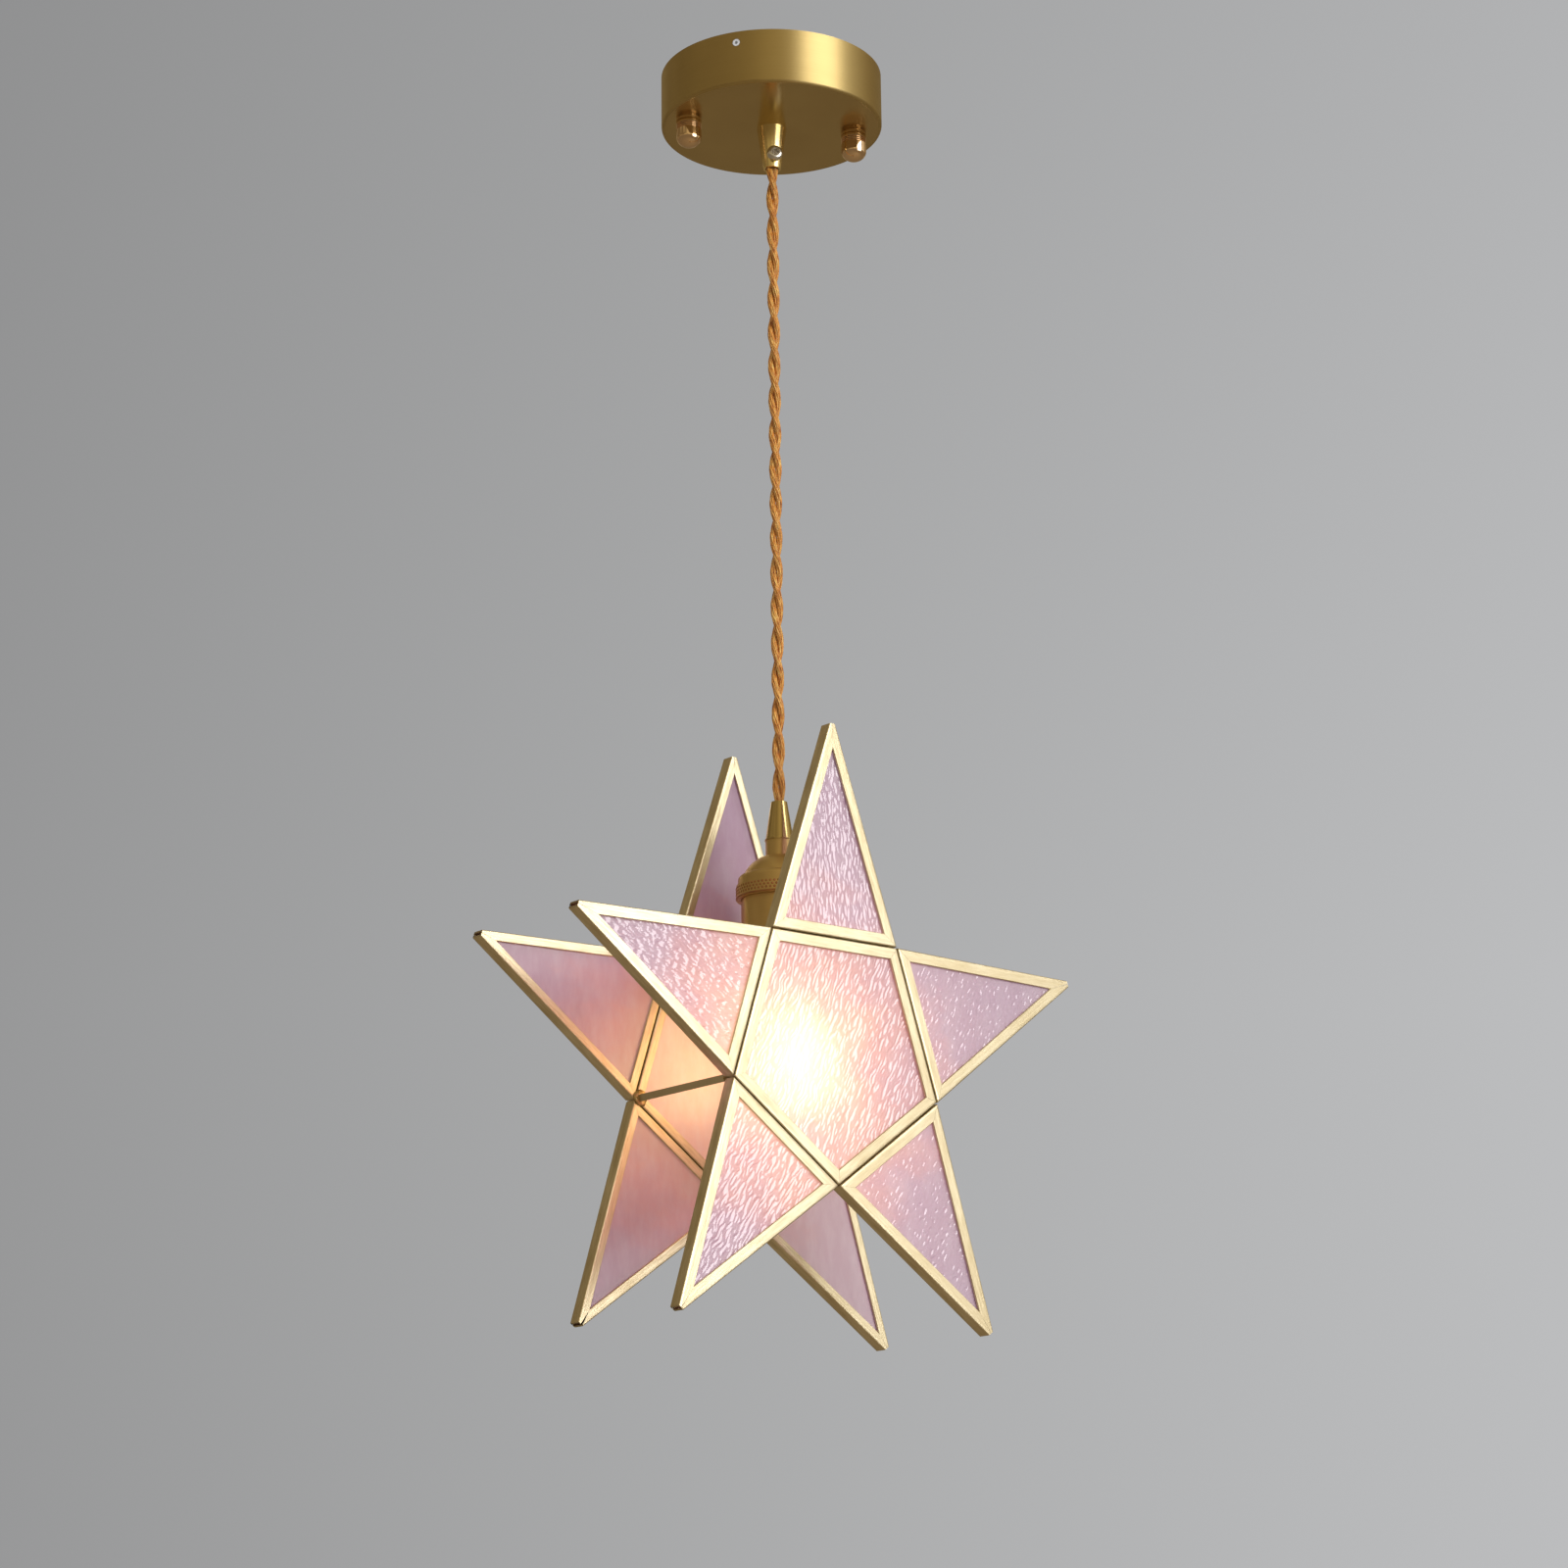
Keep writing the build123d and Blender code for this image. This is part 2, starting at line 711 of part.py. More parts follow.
def make_pane(middle, outline, turn=None):
    """Sheet glass, lying in the came's groove."""
    with BuildPart() as pane:
        sheet = inset_outline(middle, outline, came_wall + pane_gap)
        extrude(sheet, amount=glass_t / 2, both=True)
        if turn is not None:
            split(bisect_by=tip_plane(middle, turn).offset(-came_w), keep=Keep.BOTTOM)
    return pane.part


def inner_face(side):
    """A star's inner face, facing the other star."""
    return Plane(origin=(0, side * face_clear, star_z), x_dir=(1, 0, 0), z_dir=(0, -side, 0))


def make_solder(side):
    """Solder cones round the struts' feet, over the gaps between the cames."""
    with BuildPart() as joints:
        with Locations(inner_face(side)):
            with PolarLocations(inner_r - strut_inset, 5, start_angle=-90 * side):
                Cone(
                    solder_d / 2,
                    solder_top_d / 2,
                    solder_h,
                    align=(Align.CENTER, Align.CENTER, Align.MIN),
                )
                Box(
                    strut_side,
                    strut_side,
                    solder_h,
                    align=(Align.CENTER, Align.CENTER, Align.MIN),
                    mode=Mode.SUBTRACT,
                )
    return joints.part


for side, star in ((-1, "front"), (1, "back")):
    middle = star_plane(side)
    outline = pentagon_outline()
    write(make_came(middle, outline), f"{star}_middle_came")
    write(make_pane(middle, outline), f"{star}_middle_glass")
    for k, point in enumerate(point_names):
        turn = k * point_turn
        outline = point_outline(turn)
        write(make_came(middle, outline, turn), f"{star}_{point}_came")
        write(make_pane(middle, outline, turn), f"{star}_{point}_glass")
    write(make_solder(side), f"{star}_solder_joints")

# Square struts hold the stars apart, one at each inner corner.
for k, corner in enumerate(corner_names):
    with BuildPart() as strut:
        with BuildSketch(inner_face(1)):
            with PolarLocations(inner_r - strut_inset, 1, start_angle=90 - point_turn * (k + 0.5)):
                Rectangle(strut_side, strut_side)
        extrude(amount=2 * face_clear)
    write(strut.part, f"strut_{corner}")
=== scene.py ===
import math

import bmesh
import bpy
from mathutils import Matrix, Vector, noise


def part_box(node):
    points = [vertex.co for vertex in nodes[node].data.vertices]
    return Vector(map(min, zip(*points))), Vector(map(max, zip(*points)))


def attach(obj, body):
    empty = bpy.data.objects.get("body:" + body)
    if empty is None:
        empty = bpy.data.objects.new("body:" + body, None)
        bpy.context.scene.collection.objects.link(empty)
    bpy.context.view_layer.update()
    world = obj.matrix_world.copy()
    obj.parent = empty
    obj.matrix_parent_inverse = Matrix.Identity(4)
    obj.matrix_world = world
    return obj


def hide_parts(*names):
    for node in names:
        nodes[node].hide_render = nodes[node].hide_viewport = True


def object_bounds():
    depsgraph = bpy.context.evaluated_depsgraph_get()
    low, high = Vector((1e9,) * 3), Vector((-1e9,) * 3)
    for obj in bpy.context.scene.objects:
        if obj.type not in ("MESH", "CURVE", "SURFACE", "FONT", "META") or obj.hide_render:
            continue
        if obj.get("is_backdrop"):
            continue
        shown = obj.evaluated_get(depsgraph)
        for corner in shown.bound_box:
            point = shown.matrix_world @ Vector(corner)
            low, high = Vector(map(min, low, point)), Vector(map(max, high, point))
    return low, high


# Star lantern pendant, in metres. +Z is up, the ceiling is at z = 0 and the front star
# faces -Y.

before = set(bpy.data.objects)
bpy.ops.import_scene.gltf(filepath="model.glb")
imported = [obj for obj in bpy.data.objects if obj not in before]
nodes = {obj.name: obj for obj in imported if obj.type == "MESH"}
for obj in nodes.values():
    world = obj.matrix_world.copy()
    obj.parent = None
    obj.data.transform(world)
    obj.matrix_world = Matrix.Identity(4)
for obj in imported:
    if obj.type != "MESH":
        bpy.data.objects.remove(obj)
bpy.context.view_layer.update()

mm = 0.001

# ---- Sizes that the frame doesn't give -------------------------------------------------
# Cord
strand_d = 2.8 * mm
strand_lay = 32.3 * mm  # length of one full turn of the two strands
strand_start = 0.35  # turn of the first strand at z = 0, in radians
strand_flat = 1.1  # the pair presses each strand this much wider
yarns = 7
yarn_slant = 0.9
yarn_core = 0.41  # share of strand_d out to the bottom of a groove between yarns
yarn_rise = 0.1

# Stars
star_inner_r = 57.85 * mm
star_point_r = 144.6 * mm
star_tip_cut = 4.3 * mm
star_spacing = 67.4 * mm
strut_inset = 3.0 * mm
came_t = 6.1 * mm
came_w = 5.0 * mm
came_w_inside = 4.0 * mm  # the lip on the bulb's side is narrower
came_wall = 0.8 * mm
came_gap = 0.6 * mm
came_fold_r = 0.55 * mm
seam_gap = 0.11 * mm
glass_t = 4.0 * mm
glass_edge = came_wall + 0.3 * mm
ripple_h = 0.48 * mm
ripple_mesh = 0.42 * mm
brush_unit = 10 * mm  # the strips' UV map counts in this length
solder_r = 3.6 * mm
solder_h = 1.2 * mm

# Lampholder and bulb
band_r = 18.8 * mm
knurl_count = 66
knurl_size = 0.62 * mm
knurl_rows = (-379.75 * mm, -381.1 * mm, -382.45 * mm)
stud_top, stud_rise = 0.35, 0.4  # shares of knurl_size
lip_z = -384.0 * mm
lip_bead_r = 0.45 * mm
lip_sunk = 0.1 * mm
thread_pitch = 3.63 * mm
thread_deep = 0.6 * mm
thread_fade = 1.8 * mm  # the thread runs out over this much at each end

# Canopy and its cap nuts
canopy_face_r = 48.4 * mm  # the flat face ends here, where the edge's rounding begins
nut_r = 5.7 * mm
nut_h = 12.0 * mm
nut_round_h = 4.6 * mm
nut_edge = 0.25 * mm
nut_grooves = (1.5 * mm, 2.4 * mm, 3.3 * mm)
nut_groove_h = 0.5 * mm
nut_groove_deep = 0.6 * mm
nut_groove_soft = 0.12 * mm

# Places that the frame gives
cord_low, cord_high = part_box("pendant_cord")
cord_top_z, cord_foot_z = cord_high.z, cord_low.z
strut_low, strut_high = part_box("strut_bottom")
star_z = (strut_low.z + strut_high.z) / 2 + star_inner_r - strut_inset
globe_low, globe_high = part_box("bulb_globe")
globe_r = (globe_high.x - globe_low.x) / 2
globe_z = globe_low.z + globe_r

# Painted glow of the bulb on the panes: emission and warm colour painted on the glass, which is
# no lamp
# The painted glow is brightest 20 mm towards -X from the bulb's axis and 13 mm below the globe's
# middle, about where the camera sees the bulb through the front pane; it stays there in every
# view.
glow_x, glow_z = -20 * mm, globe_z - 13 * mm  # the brightest place
glow_core_w = 27 * mm
glow_halo_w = 75 * mm
glow_least = 0.03
# The painted warm colours of the glass fade out by glow_reach.
glow_reach = 140 * mm  # the warm tones fade out by here


# Camera, fitted to the outlines in the photograph
camera_lens = 84.29
camera_sensor = 36
camera_place = (-0.96981, -1.18961, -0.74255)
camera_yaw, camera_pitch, camera_roll = 39.271, 14.945, -0.654

# Room
floor_z = -2.3
floor_size = 60
backdrop_turn = 39  # degrees from +X to the right of the photograph's view
panel_toward = (0.63, -0.75, 0.2)  # a pale panel that the canopy's flat face mirrors


# ---- Camera ----------------------------------------------------------------------------

def place_camera():
    """The photograph's view: a long lens from the front left, looking a little upward."""
    yaw, pitch, roll = map(math.radians, (camera_yaw, camera_pitch, camera_roll))
    forward = Vector(
        (math.sin(yaw) * math.cos(pitch), math.cos(yaw) * math.cos(pitch), math.sin(pitch))
    )
    level = Vector((math.cos(yaw), -math.sin(yaw), 0))
    upright = level.cross(forward)
    across = level * math.cos(roll) + upright * math.sin(roll)
    above = upright * math.cos(roll) - level * math.sin(roll)
    data = bpy.data.cameras.new("photo_view")
    data.sensor_width = camera_sensor
    data.lens = camera_lens
    data.clip_start = 0.05
    data.clip_end = 60
    camera = bpy.data.objects.new("photo_view", data)
    turn = Matrix((across, above, -forward)).transposed().to_4x4()
    camera.matrix_world = Matrix.Translation(camera_place) @ turn
    bpy.context.scene.collection.objects.link(camera)
    bpy.context.scene.camera = camera


place_camera()


# ---- Mesh helpers ----------------------------------------------------------------------

def paint(data, material):
    data.materials.clear()
    data.materials.append(material)


def finish_piece(name, mesh, material, body, smooth_angle):
    """Turns a bmesh into a piece that rides on a body, at the origin and shaded."""
    data = bpy.data.meshes.new(name)
    mesh.to_mesh(data)
    mesh.free()
    paint(data, material)
    data.shade_smooth()
    data.set_sharp_from_angle(angle=math.radians(smooth_angle))
    piece = bpy.data.objects.new(name, data)
    bpy.context.scene.collection.objects.link(piece)
    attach(piece, body)
    return piece


def skin_rings(mesh, rings, uv_rows=None):
    """A closed skin over rings of points. uv_rows gives each ring's place along the piece."""
    rows = [[mesh.verts.new(p) for p in ring] for ring in rings]
    count = len(rings[0])
    uv = mesh.loops.layers.uv.verify()
    for row in range(len(rows) - 1):
        near, far = rows[row], rows[row + 1]
        for k in range(count):
            n = (k + 1) % count
            face = mesh.faces.new((near[k], near[n], far[n], far[k]))
            if uv_rows:
                ends = (uv_rows[row], uv_rows[row], uv_rows[row + 1], uv_rows[row + 1])
                sides = (k, k + 1, k + 1, k)
                for loop, along, side in zip(face.loops, ends, sides):
                    loop[uv].uv = (along, side / count)
    caps = [mesh.faces.new(rows[0][::-1]), mesh.faces.new(rows[-1])]
    if uv_rows:
        for face, along in zip(caps, (uv_rows[0], uv_rows[-1])):
            for k, loop in enumerate(face.loops):
                loop[uv].uv = (along, k / count)
    return mesh


# ---- Cord: two fabric-covered strands twisted together ---------------------------------

def line_points(top_z, foot_z):
    """Points read from the cord's smooth line between two heights."""
    curve = bpy.data.curves.new("cord_line", "CURVE")
    curve.dimensions = "3D"
    curve.resolution_u = 96
    spline = curve.splines.new("NURBS")
    heights = [top_z + (foot_z - top_z) * share for share in (0, 0.25, 0.5, 0.75, 1)]
    spline.points.add(len(heights) - 1)
    for point, z in zip(spline.points, heights):
        point.co = (0, 0, z, 1)
    spline.order_u = 3
    spline.use_endpoint_u = True
    line = bpy.data.objects.new("cord_line", curve)
    bpy.context.scene.collection.objects.link(line)
    evaluated = line.evaluated_get(bpy.context.evaluated_depsgraph_get())
    data = bpy.data.meshes.new_from_object(evaluated)
    points = [v.co.copy() for v in data.vertices]
    bpy.data.objects.remove(line)
    bpy.data.curves.remove(curve)
    bpy.data.meshes.remove(data)
    return points


def twisted_strands(name, top_z, foot_z, material, body):
    """The pair's two strands wound round the line, right-handed, with squeezed flanks."""
    points = line_points(top_z, foot_z)
    around = 6 * yarns
    mesh = bmesh.new()
    for strand in range(2):
        rings, places = [], []
        for point in points:
            turn = -2 * math.pi * point.z / strand_lay + strand * math.pi + strand_start
            out = Vector((math.cos(turn), math.sin(turn), 0))
            side = Vector((-out.y, out.x, 0))
            centre = point + out * strand_d * 0.5
            ring = []
            for k in range(around):
                angle = 2 * math.pi * k / around
                ridge = abs(math.sin(yarns * angle / 2 + yarn_slant * turn))
                reach = strand_d * (yarn_core + yarn_rise * ridge)
                ring.append(
                    centre
                    + out * math.cos(angle) * reach
                    + side * math.sin(angle) * reach * strand_flat
                )
            rings.append(ring)
            places.append(-point.z / strand_d)
        skin_rings(mesh, rings, places)
    bmesh.ops.recalc_face_normals(mesh, faces=mesh.faces)
    return finish_piece(name, mesh, material, body, 60), points


# ---- Shader groups ---------------------------------------------------------------------

def new_group(name, inputs, outputs):
    """A shader node group with (name, kind, value) inputs and (name, kind) outputs."""
    group = bpy.data.node_groups.new(name, "ShaderNodeTree")
    for title, kind, value in inputs:
        socket = group.interface.new_socket(
            name=title, in_out="INPUT", socket_type="NodeSocket" + kind
        )
        if value is not None:
            socket.default_value = value
    for title, kind in outputs:
        group.interface.new_socket(
            name=title, in_out="OUTPUT", socket_type="NodeSocket" + kind
        )
    return group


class Tree:
    """Short calls for placing and joining nodes."""

    def __init__(self, tree):
        self.tree = tree

    def add(self, kind, **settings):
        node = self.tree.nodes.new(kind)
        for key, value in settings.items():
            setattr(node, key, value)
        return node

    def join(self, source, target):
        self.tree.links.new(source, target)

    def feed(self, value, socket):
        if isinstance(value, bpy.types.NodeSocket):
            self.join(value, socket)
        else:
            socket.default_value = value

    def coords(self, kind="Object"):
        return self.add("ShaderNodeTexCoord").outputs[kind]

    def split(self, vector):
        node = self.add("ShaderNodeSeparateXYZ")
        self.join(vector, node.inputs[0])
        return node.outputs

    def combine(self, x=0.0, y=0.0, z=0.0):
        node = self.add("ShaderNodeCombineXYZ")
        for value, socket in zip((x, y, z), node.inputs):
            self.feed(value, socket)
        return node.outputs[0]

    def sum(self, operation, first, second=0.0):
        node = self.add("ShaderNodeMath", operation=operation)
        for value, socket in zip((first, second), node.inputs):
            self.feed(value, socket)
        return node.outputs[0]

    def mix(self, factor, first, second):
        node = self.add("ShaderNodeMix", data_type="RGBA")
        self.feed(factor, node.inputs[0])
        self.feed(first, node.inputs[6])
        self.feed(second, node.inputs[7])
        return node.outputs[2]

    def ramp(self, value, stops):
        node = self.add("ShaderNodeValToRGB")
        elements = node.color_ramp.elements
        while len(elements) < len(stops):
            elements.new(1.0)
        for element, (place, color) in zip(elements, stops):
            element.position = place
            element.color = (*color, 1)
        self.feed(value, node.inputs[0])
        return node.outputs[0]

    def range(self, value, low, high, new_low, new_high):
        node = self.add("ShaderNodeMapRange")
        for number, socket in zip((value, low, high, new_low, new_high), node.inputs):
            self.feed(number, socket)
        return node.outputs[0]

    def noise(self, vector, scale, detail=3.0, roughness=0.55):
        node = self.add("ShaderNodeTexNoise")
        self.feed(vector, node.inputs["Vector"])
        self.feed(scale, node.inputs["Scale"])
        node.inputs["Detail"].default_value = detail
        node.inputs["Roughness"].default_value = roughness
        return node.outputs[0]

    def stretch(self, vector, scale, rotation=(0, 0, 0), location=(0, 0, 0)):
        node = self.add("ShaderNodeMapping")
        self.feed(vector, node.inputs["Vector"])
        self.feed(location, node.inputs["Location"])
        self.feed(rotation, node.inputs["Rotation"])
        self.feed(scale, node.inputs["Scale"])
        return node.outputs[0]

    def bump(self, height, strength, distance):
        node = self.add("ShaderNodeBump")
        node.inputs["Strength"].default_value = strength
        node.inputs["Distance"].default_value = distance
        self.join(height, node.inputs["Height"])
        return node.outputs[0]


def make_streak_group():
    """Fine brush lines: noise stretched along the first axis, with a slow cloud over it."""
    group = new_group(
        "brush_streaks",
        [("Vector", "Vector", None), ("Along", "Float", 60.0), ("Across", "Float", 6000.0)],
        [("Streak", "Float"), ("Cloud", "Float")],
    )
    t = Tree(group)
    given = t.add("NodeGroupInput").outputs
    result = t.add("NodeGroupOutput").inputs
    scale = t.combine(given["Along"], given["Across"], given["Across"])
    lines = t.noise(t.stretch(given["Vector"], scale), 1.0, 4.0, 0.6)
    t.join(lines, result["Streak"])
    t.join(t.noise(given["Vector"], 45.0, 2.0), result["Cloud"])
    return group


def make_tone_group():
    """Darkens a metal's colour where dirt and age gather, by a mask."""
    group = new_group(
        "aged_tone",
        [
            ("Color", "Color", (0.6, 0.4, 0.2, 1)),
            ("Aged Color", "Color", (0.2, 0.1, 0.05, 1)),
            ("Mask", "Float", 0.5),
            ("Amount", "Float", 0.4),
        ],
        [("Color", "Color")],
    )
    t = Tree(group)
    given = t.add("NodeGroupInput").outputs
    result = t.add("NodeGroupOutput").inputs
    share = t.sum("MULTIPLY", t.range(given["Mask"], 0.35, 0.75, 0.0, 1.0), given["Amount"])
    t.join(t.mix(share, given["Color"], given["Aged Color"]), result["Color"])
    return group


def make_fibre_group():
    """Silk yarns laid along a strand, from its UV map: U runs along it and V round it."""
    group = new_group(
        "silk_fibres",
        [("Vector", "Vector", None), ("Along", "Float", 0.55), ("Around", "Float", 26.0)],
        [("Height", "Float"), ("Groove", "Float")],
    )
    t = Tree(group)
    given = t.add("NodeGroupInput").outputs
    result = t.add("NodeGroupOutput").inputs
    u, v, _ = t.split(given["Vector"])
    slant = t.sum("ADD", v, t.sum("MULTIPLY", u, 0.07))
    laid = t.combine(
        t.sum("MULTIPLY", u, given["Along"]), t.sum("MULTIPLY", slant, given["Around"])
    )
    height = t.noise(laid, 1.0, 3.0, 0.6)
    t.join(height, result["Height"])
    t.join(t.range(height, 0.5, 0.36, 0.0, 1.0), result["Groove"])
    return group


brush_streaks = make_streak_group()
aged_tone = make_tone_group()
silk_fibres = make_fibre_group()


# ---- Materials -------------------------------------------------------------------------

def new_material(name):
    material = bpy.data.materials.new(name)
    material.use_nodes = True
    t = Tree(material.node_tree)
    shader = material.node_tree.nodes["Principled BSDF"]
    return material, t, shader.inputs


def set_plain(inputs, **values):
    """Sets sockets that are the same all over; an underscore stands for a space."""
    for title, value in values.items():
        inputs[title.replace("_", " ")].default_value = value


def use_group(t, group, **values):
    node = t.add("ShaderNodeGroup", node_tree=group)
    for title, value in values.items():
        t.feed(value, node.inputs[title.replace("_", " ")])
    return node.outputs


def spun_vector(t):
    """Object coordinates as (turn about Z, distance from Z, height), for turned metal."""
    x, y, z = t.split(t.coords())
    turn = t.sum("ARCTAN2", y, x)
    reach = t.sum("SQRT", t.sum("ADD", t.sum("MULTIPLY", x, x), t.sum("MULTIPLY", y, y)))
    return t.combine(t.sum("MULTIPLY", turn, 0.02), reach, z)


def turned_brass(
    name, color, aged, roughness, age, anisotropy=0.0, across=9000.0, face_roughness=None
):
    """Brass that was spun or turned about Z, with its tool lines running round it.

    face_roughness is for the flat face of the canopy, inside its rounded edge.
    """
    material, t, inputs = new_material(name)
    spun = spun_vector(t)
    streak = use_group(t, brush_streaks, Vector=spun, Along=60.0, Across=across)
    tone = use_group(
        t, aged_tone, Color=(*color, 1), Aged_Color=(*aged, 1), Mask=streak["Cloud"], Amount=age
    )
    shade = t.range(streak["Streak"], 0.3, 0.7, 0.0, 0.1)
    darker = t.mix(shade, tone["Color"], (*aged, 1))
    t.join(darker, inputs["Base Color"])
    set_plain(inputs, Metallic=1.0)
    rough = t.range(streak["Streak"], 0.3, 0.7, roughness * 0.85, roughness * 1.2)
    if face_roughness:
        on_face = t.sum("LESS_THAN", t.split(spun)[1], canopy_face_r)
        rough = t.range(on_face, 0.0, 1.0, rough, face_roughness)
    t.join(rough, inputs["Roughness"])
    t.join(t.bump(streak["Streak"], 0.02, 0.0001), inputs["Normal"])
    if anisotropy:
        set_plain(inputs, Anisotropic=anisotropy, Anisotropic_Rotation=0.25)
        tangent = t.add("ShaderNodeTangent", direction_type="RADIAL", axis="Z")
        t.join(tangent.outputs[0], inputs["Tangent"])
    return material


def strip_brass():
    """The cames' folded strip: pale brass, brushed along its length by the UV map."""
    material, t, inputs = new_material("pale_strip_brass")
    streak = use_group(t, brush_streaks, Vector=t.coords("UV"), Along=0.8, Across=55.0)
    cloud = t.noise(t.coords(), 32.0, 4.0)
    pale, aged = (0.88, 0.8, 0.6, 1), (0.6, 0.48, 0.28, 1)
    tone = use_group(t, aged_tone, Color=pale, Aged_Color=aged, Mask=cloud, Amount=0.6)
    shade = t.range(streak["Streak"], 0.4, 0.7, 0.0, 0.45)
    t.join(t.mix(shade, tone["Color"], (0.46, 0.37, 0.19, 1)), inputs["Base Color"])
    set_plain(inputs, Metallic=1.0)
    t.join(t.range(streak["Streak"], 0.3, 0.7, 0.3, 0.42), inputs["Roughness"])
    t.join(t.bump(streak["Streak"], 0.35, 0.0002), inputs["Normal"])
    return material


def plain_metal(name, color, aged, roughness, age=0.35):
    """Plated or cast metal, finely speckled, with slow clouds of age."""
    material, t, inputs = new_material(name)
    place = t.coords()
    speck = t.noise(place, 900.0, 4.0)
    cloud = t.noise(place, 120.0, 2.0)
    tone = use_group(
        t, aged_tone, Color=(*color, 1), Aged_Color=(*aged, 1), Mask=cloud, Amount=age
    )
    t.join(tone["Color"], inputs["Base Color"])
    set_plain(inputs, Metallic=1.0)
    t.join(t.range(speck, 0.3, 0.7, roughness * 0.8, roughness * 1.25), inputs["Roughness"])
    t.join(t.bump(speck, 0.08, 0.0002), inputs["Normal"])
    return material


def moulded(name, color, roughness, coat=0.0):
    """Moulded plastic, glazed ceramic or black glass, with a slightly uneven skin."""
    material, t, inputs = new_material(name)
    speck = t.noise(t.coords(), 700.0, 3.0)
    darker = tuple(c * 0.82 for c in color)
    shade = t.range(speck, 0.35, 0.7, 0.0, 1.0)
    t.join(t.mix(shade, (*color, 1), (*darker, 1)), inputs["Base Color"])
    t.join(t.range(speck, 0.3, 0.7, roughness * 0.9, roughness * 1.15), inputs["Roughness"])
    set_plain(inputs, Coat_Weight=coat, Coat_Roughness=0.08)
    t.join(t.bump(speck, 0.1, 0.0002), inputs["Normal"])
    return material


def amber_silk():
    """Glossy amber yarns, with painted shade in the grooves between them and a painted gold
    highlight on their crowns.
    """
    material, t, inputs = new_material("amber_silk")
    fibre = use_group(t, silk_fibres, Vector=t.coords("UV"))
    cloud = t.noise(t.coords(), 260.0, 2.0)
    # Painted shade and highlight: the colour is dark where the yarns' height is low, in the
    # grooves, and gold where it is high, on the crowns.
    color = t.ramp(
        fibre["Height"],
        [(0.4, (0.24, 0.05, 0.004)), (0.5, (0.82, 0.3, 0.03)), (0.62, (1.0, 0.68, 0.2))],
    )
    shade = t.range(cloud, 0.35, 0.7, 0.0, 0.35)
    t.join(t.mix(shade, color, (0.5, 0.16, 0.015, 1)), inputs["Base Color"])
    t.join(t.range(fibre["Groove"], 0.0, 1.0, 0.36, 0.7), inputs["Roughness"])
    set_plain(inputs, Sheen_Weight=0.25, Sheen_Roughness=0.35, Sheen_Tint=(1.0, 0.75, 0.4, 1))
    t.join(t.bump(fibre["Height"], 1.0, 0.0005), inputs["Normal"])
    return material


def painted_glow_distance(t, place):
    """How far a place is from the painted glow's middle, measured flat across the star."""
    centred = t.stretch(place, (1, 0, 1), location=(-glow_x, 0, -glow_z))
    length = t.add("ShaderNodeVectorMath", operation="LENGTH")
    t.join(centred, length.inputs[0])
    return length.outputs["Value"]


def painted_glow_strength(t, reach, core, halo):
    """The painted glow: a bright core and a wide halo over the least painted light that a pane
    has.
    """
    strength = glow_least
    for width, share in ((glow_core_w, core), (glow_halo_w, halo)):
        near = t.sum("DIVIDE", reach, width)
        bell = t.sum("POWER", t.sum("ADD", t.sum("MULTIPLY", near, near), 1.0), -1.5)
        strength = t.sum("ADD", t.sum("MULTIPLY", bell, share), strength)
    return strength


def glass_with_painted_glow(name, tip_color, mid_color, painted_warm_near_color, core, halo):
    """Rippled opal sheet with painted light. The base colour is painted warm near the bulb,
    running from the near colour through the mid colour, which is partly the glass's pink and
    partly painted warmth, to the glass's own tip colour; a painted glow is emitted over it, warm
    and strongest near the bulb.
    """
    material, t, inputs = new_material(name)
    place = t.coords()
    reach = painted_glow_distance(t, place)
    swirl = t.noise(t.stretch(place, (30, 30, 55), rotation=(0, 0.5, 0)), 1.0, 5.0, 0.6)
    wisp = t.noise(t.stretch(place, (160, 160, 60), rotation=(0, 0.45, 0)), 1.0, 4.0, 0.6)
    clouded = t.sum("ADD", reach, t.range(swirl, 0.3, 0.7, -16 * mm, 16 * mm))
    # Painted warmth: the base colour is warm near the bulb and turns to the glass's own tip
    # colour far from it, standing in for the bulb's light.
    painted_warmth_fade = t.range(clouded, 0.0, glow_reach, 0.0, 1.0)
    color = t.ramp(
        painted_warmth_fade, [(0.0, painted_warm_near_color), (0.3, mid_color), (0.62, tip_color), (1.0, tip_color)]
    )
    milky = t.mix(t.range(wisp, 0.42, 0.75, 0.0, 0.28), color, (0.92, 0.82, 0.88, 1))
    t.join(milky, inputs["Base Color"])
    set_plain(inputs, Roughness=0.36, IOR=1.5, Transmission_Weight=0.45)
    # The rippled face outward is fire polished; the smooth one inside was rolled, so duller.
    depth = t.sum("ABSOLUTE", t.split(place)[1])
    outward = t.sum("GREATER_THAN", depth, star_spacing / 2)
    t.join(t.range(outward, 0.0, 1.0, 0.35, 1.0), inputs["Coat Weight"])
    set_plain(inputs, Coat_Roughness=0.05, Coat_IOR=1.8)
    # Painted glow: emission, warm near the bulb and fading outward, stands in for the bulb's
    # light scattered in the glass.
    warm = t.ramp(
        painted_warmth_fade,
        [(0.0, (1.0, 0.95, 0.68)), (0.2, (1.0, 0.84, 0.52)), (0.5, (1.0, 0.52, 0.46)),
         (0.9, (0.8, 0.45, 0.58))],
    )
    lit = t.add("ShaderNodeMix", data_type="RGBA", blend_type="MULTIPLY")
    strength = painted_glow_strength(t, reach, core, halo)
    for value, socket in ((1.0, 0), (warm, 6), (t.combine(strength, strength, strength), 7)):
        t.feed(value, lit.inputs[socket])
    t.join(lit.outputs[2], inputs["Emission Color"])
    set_plain(inputs, Emission_Strength=1.0)
    return material


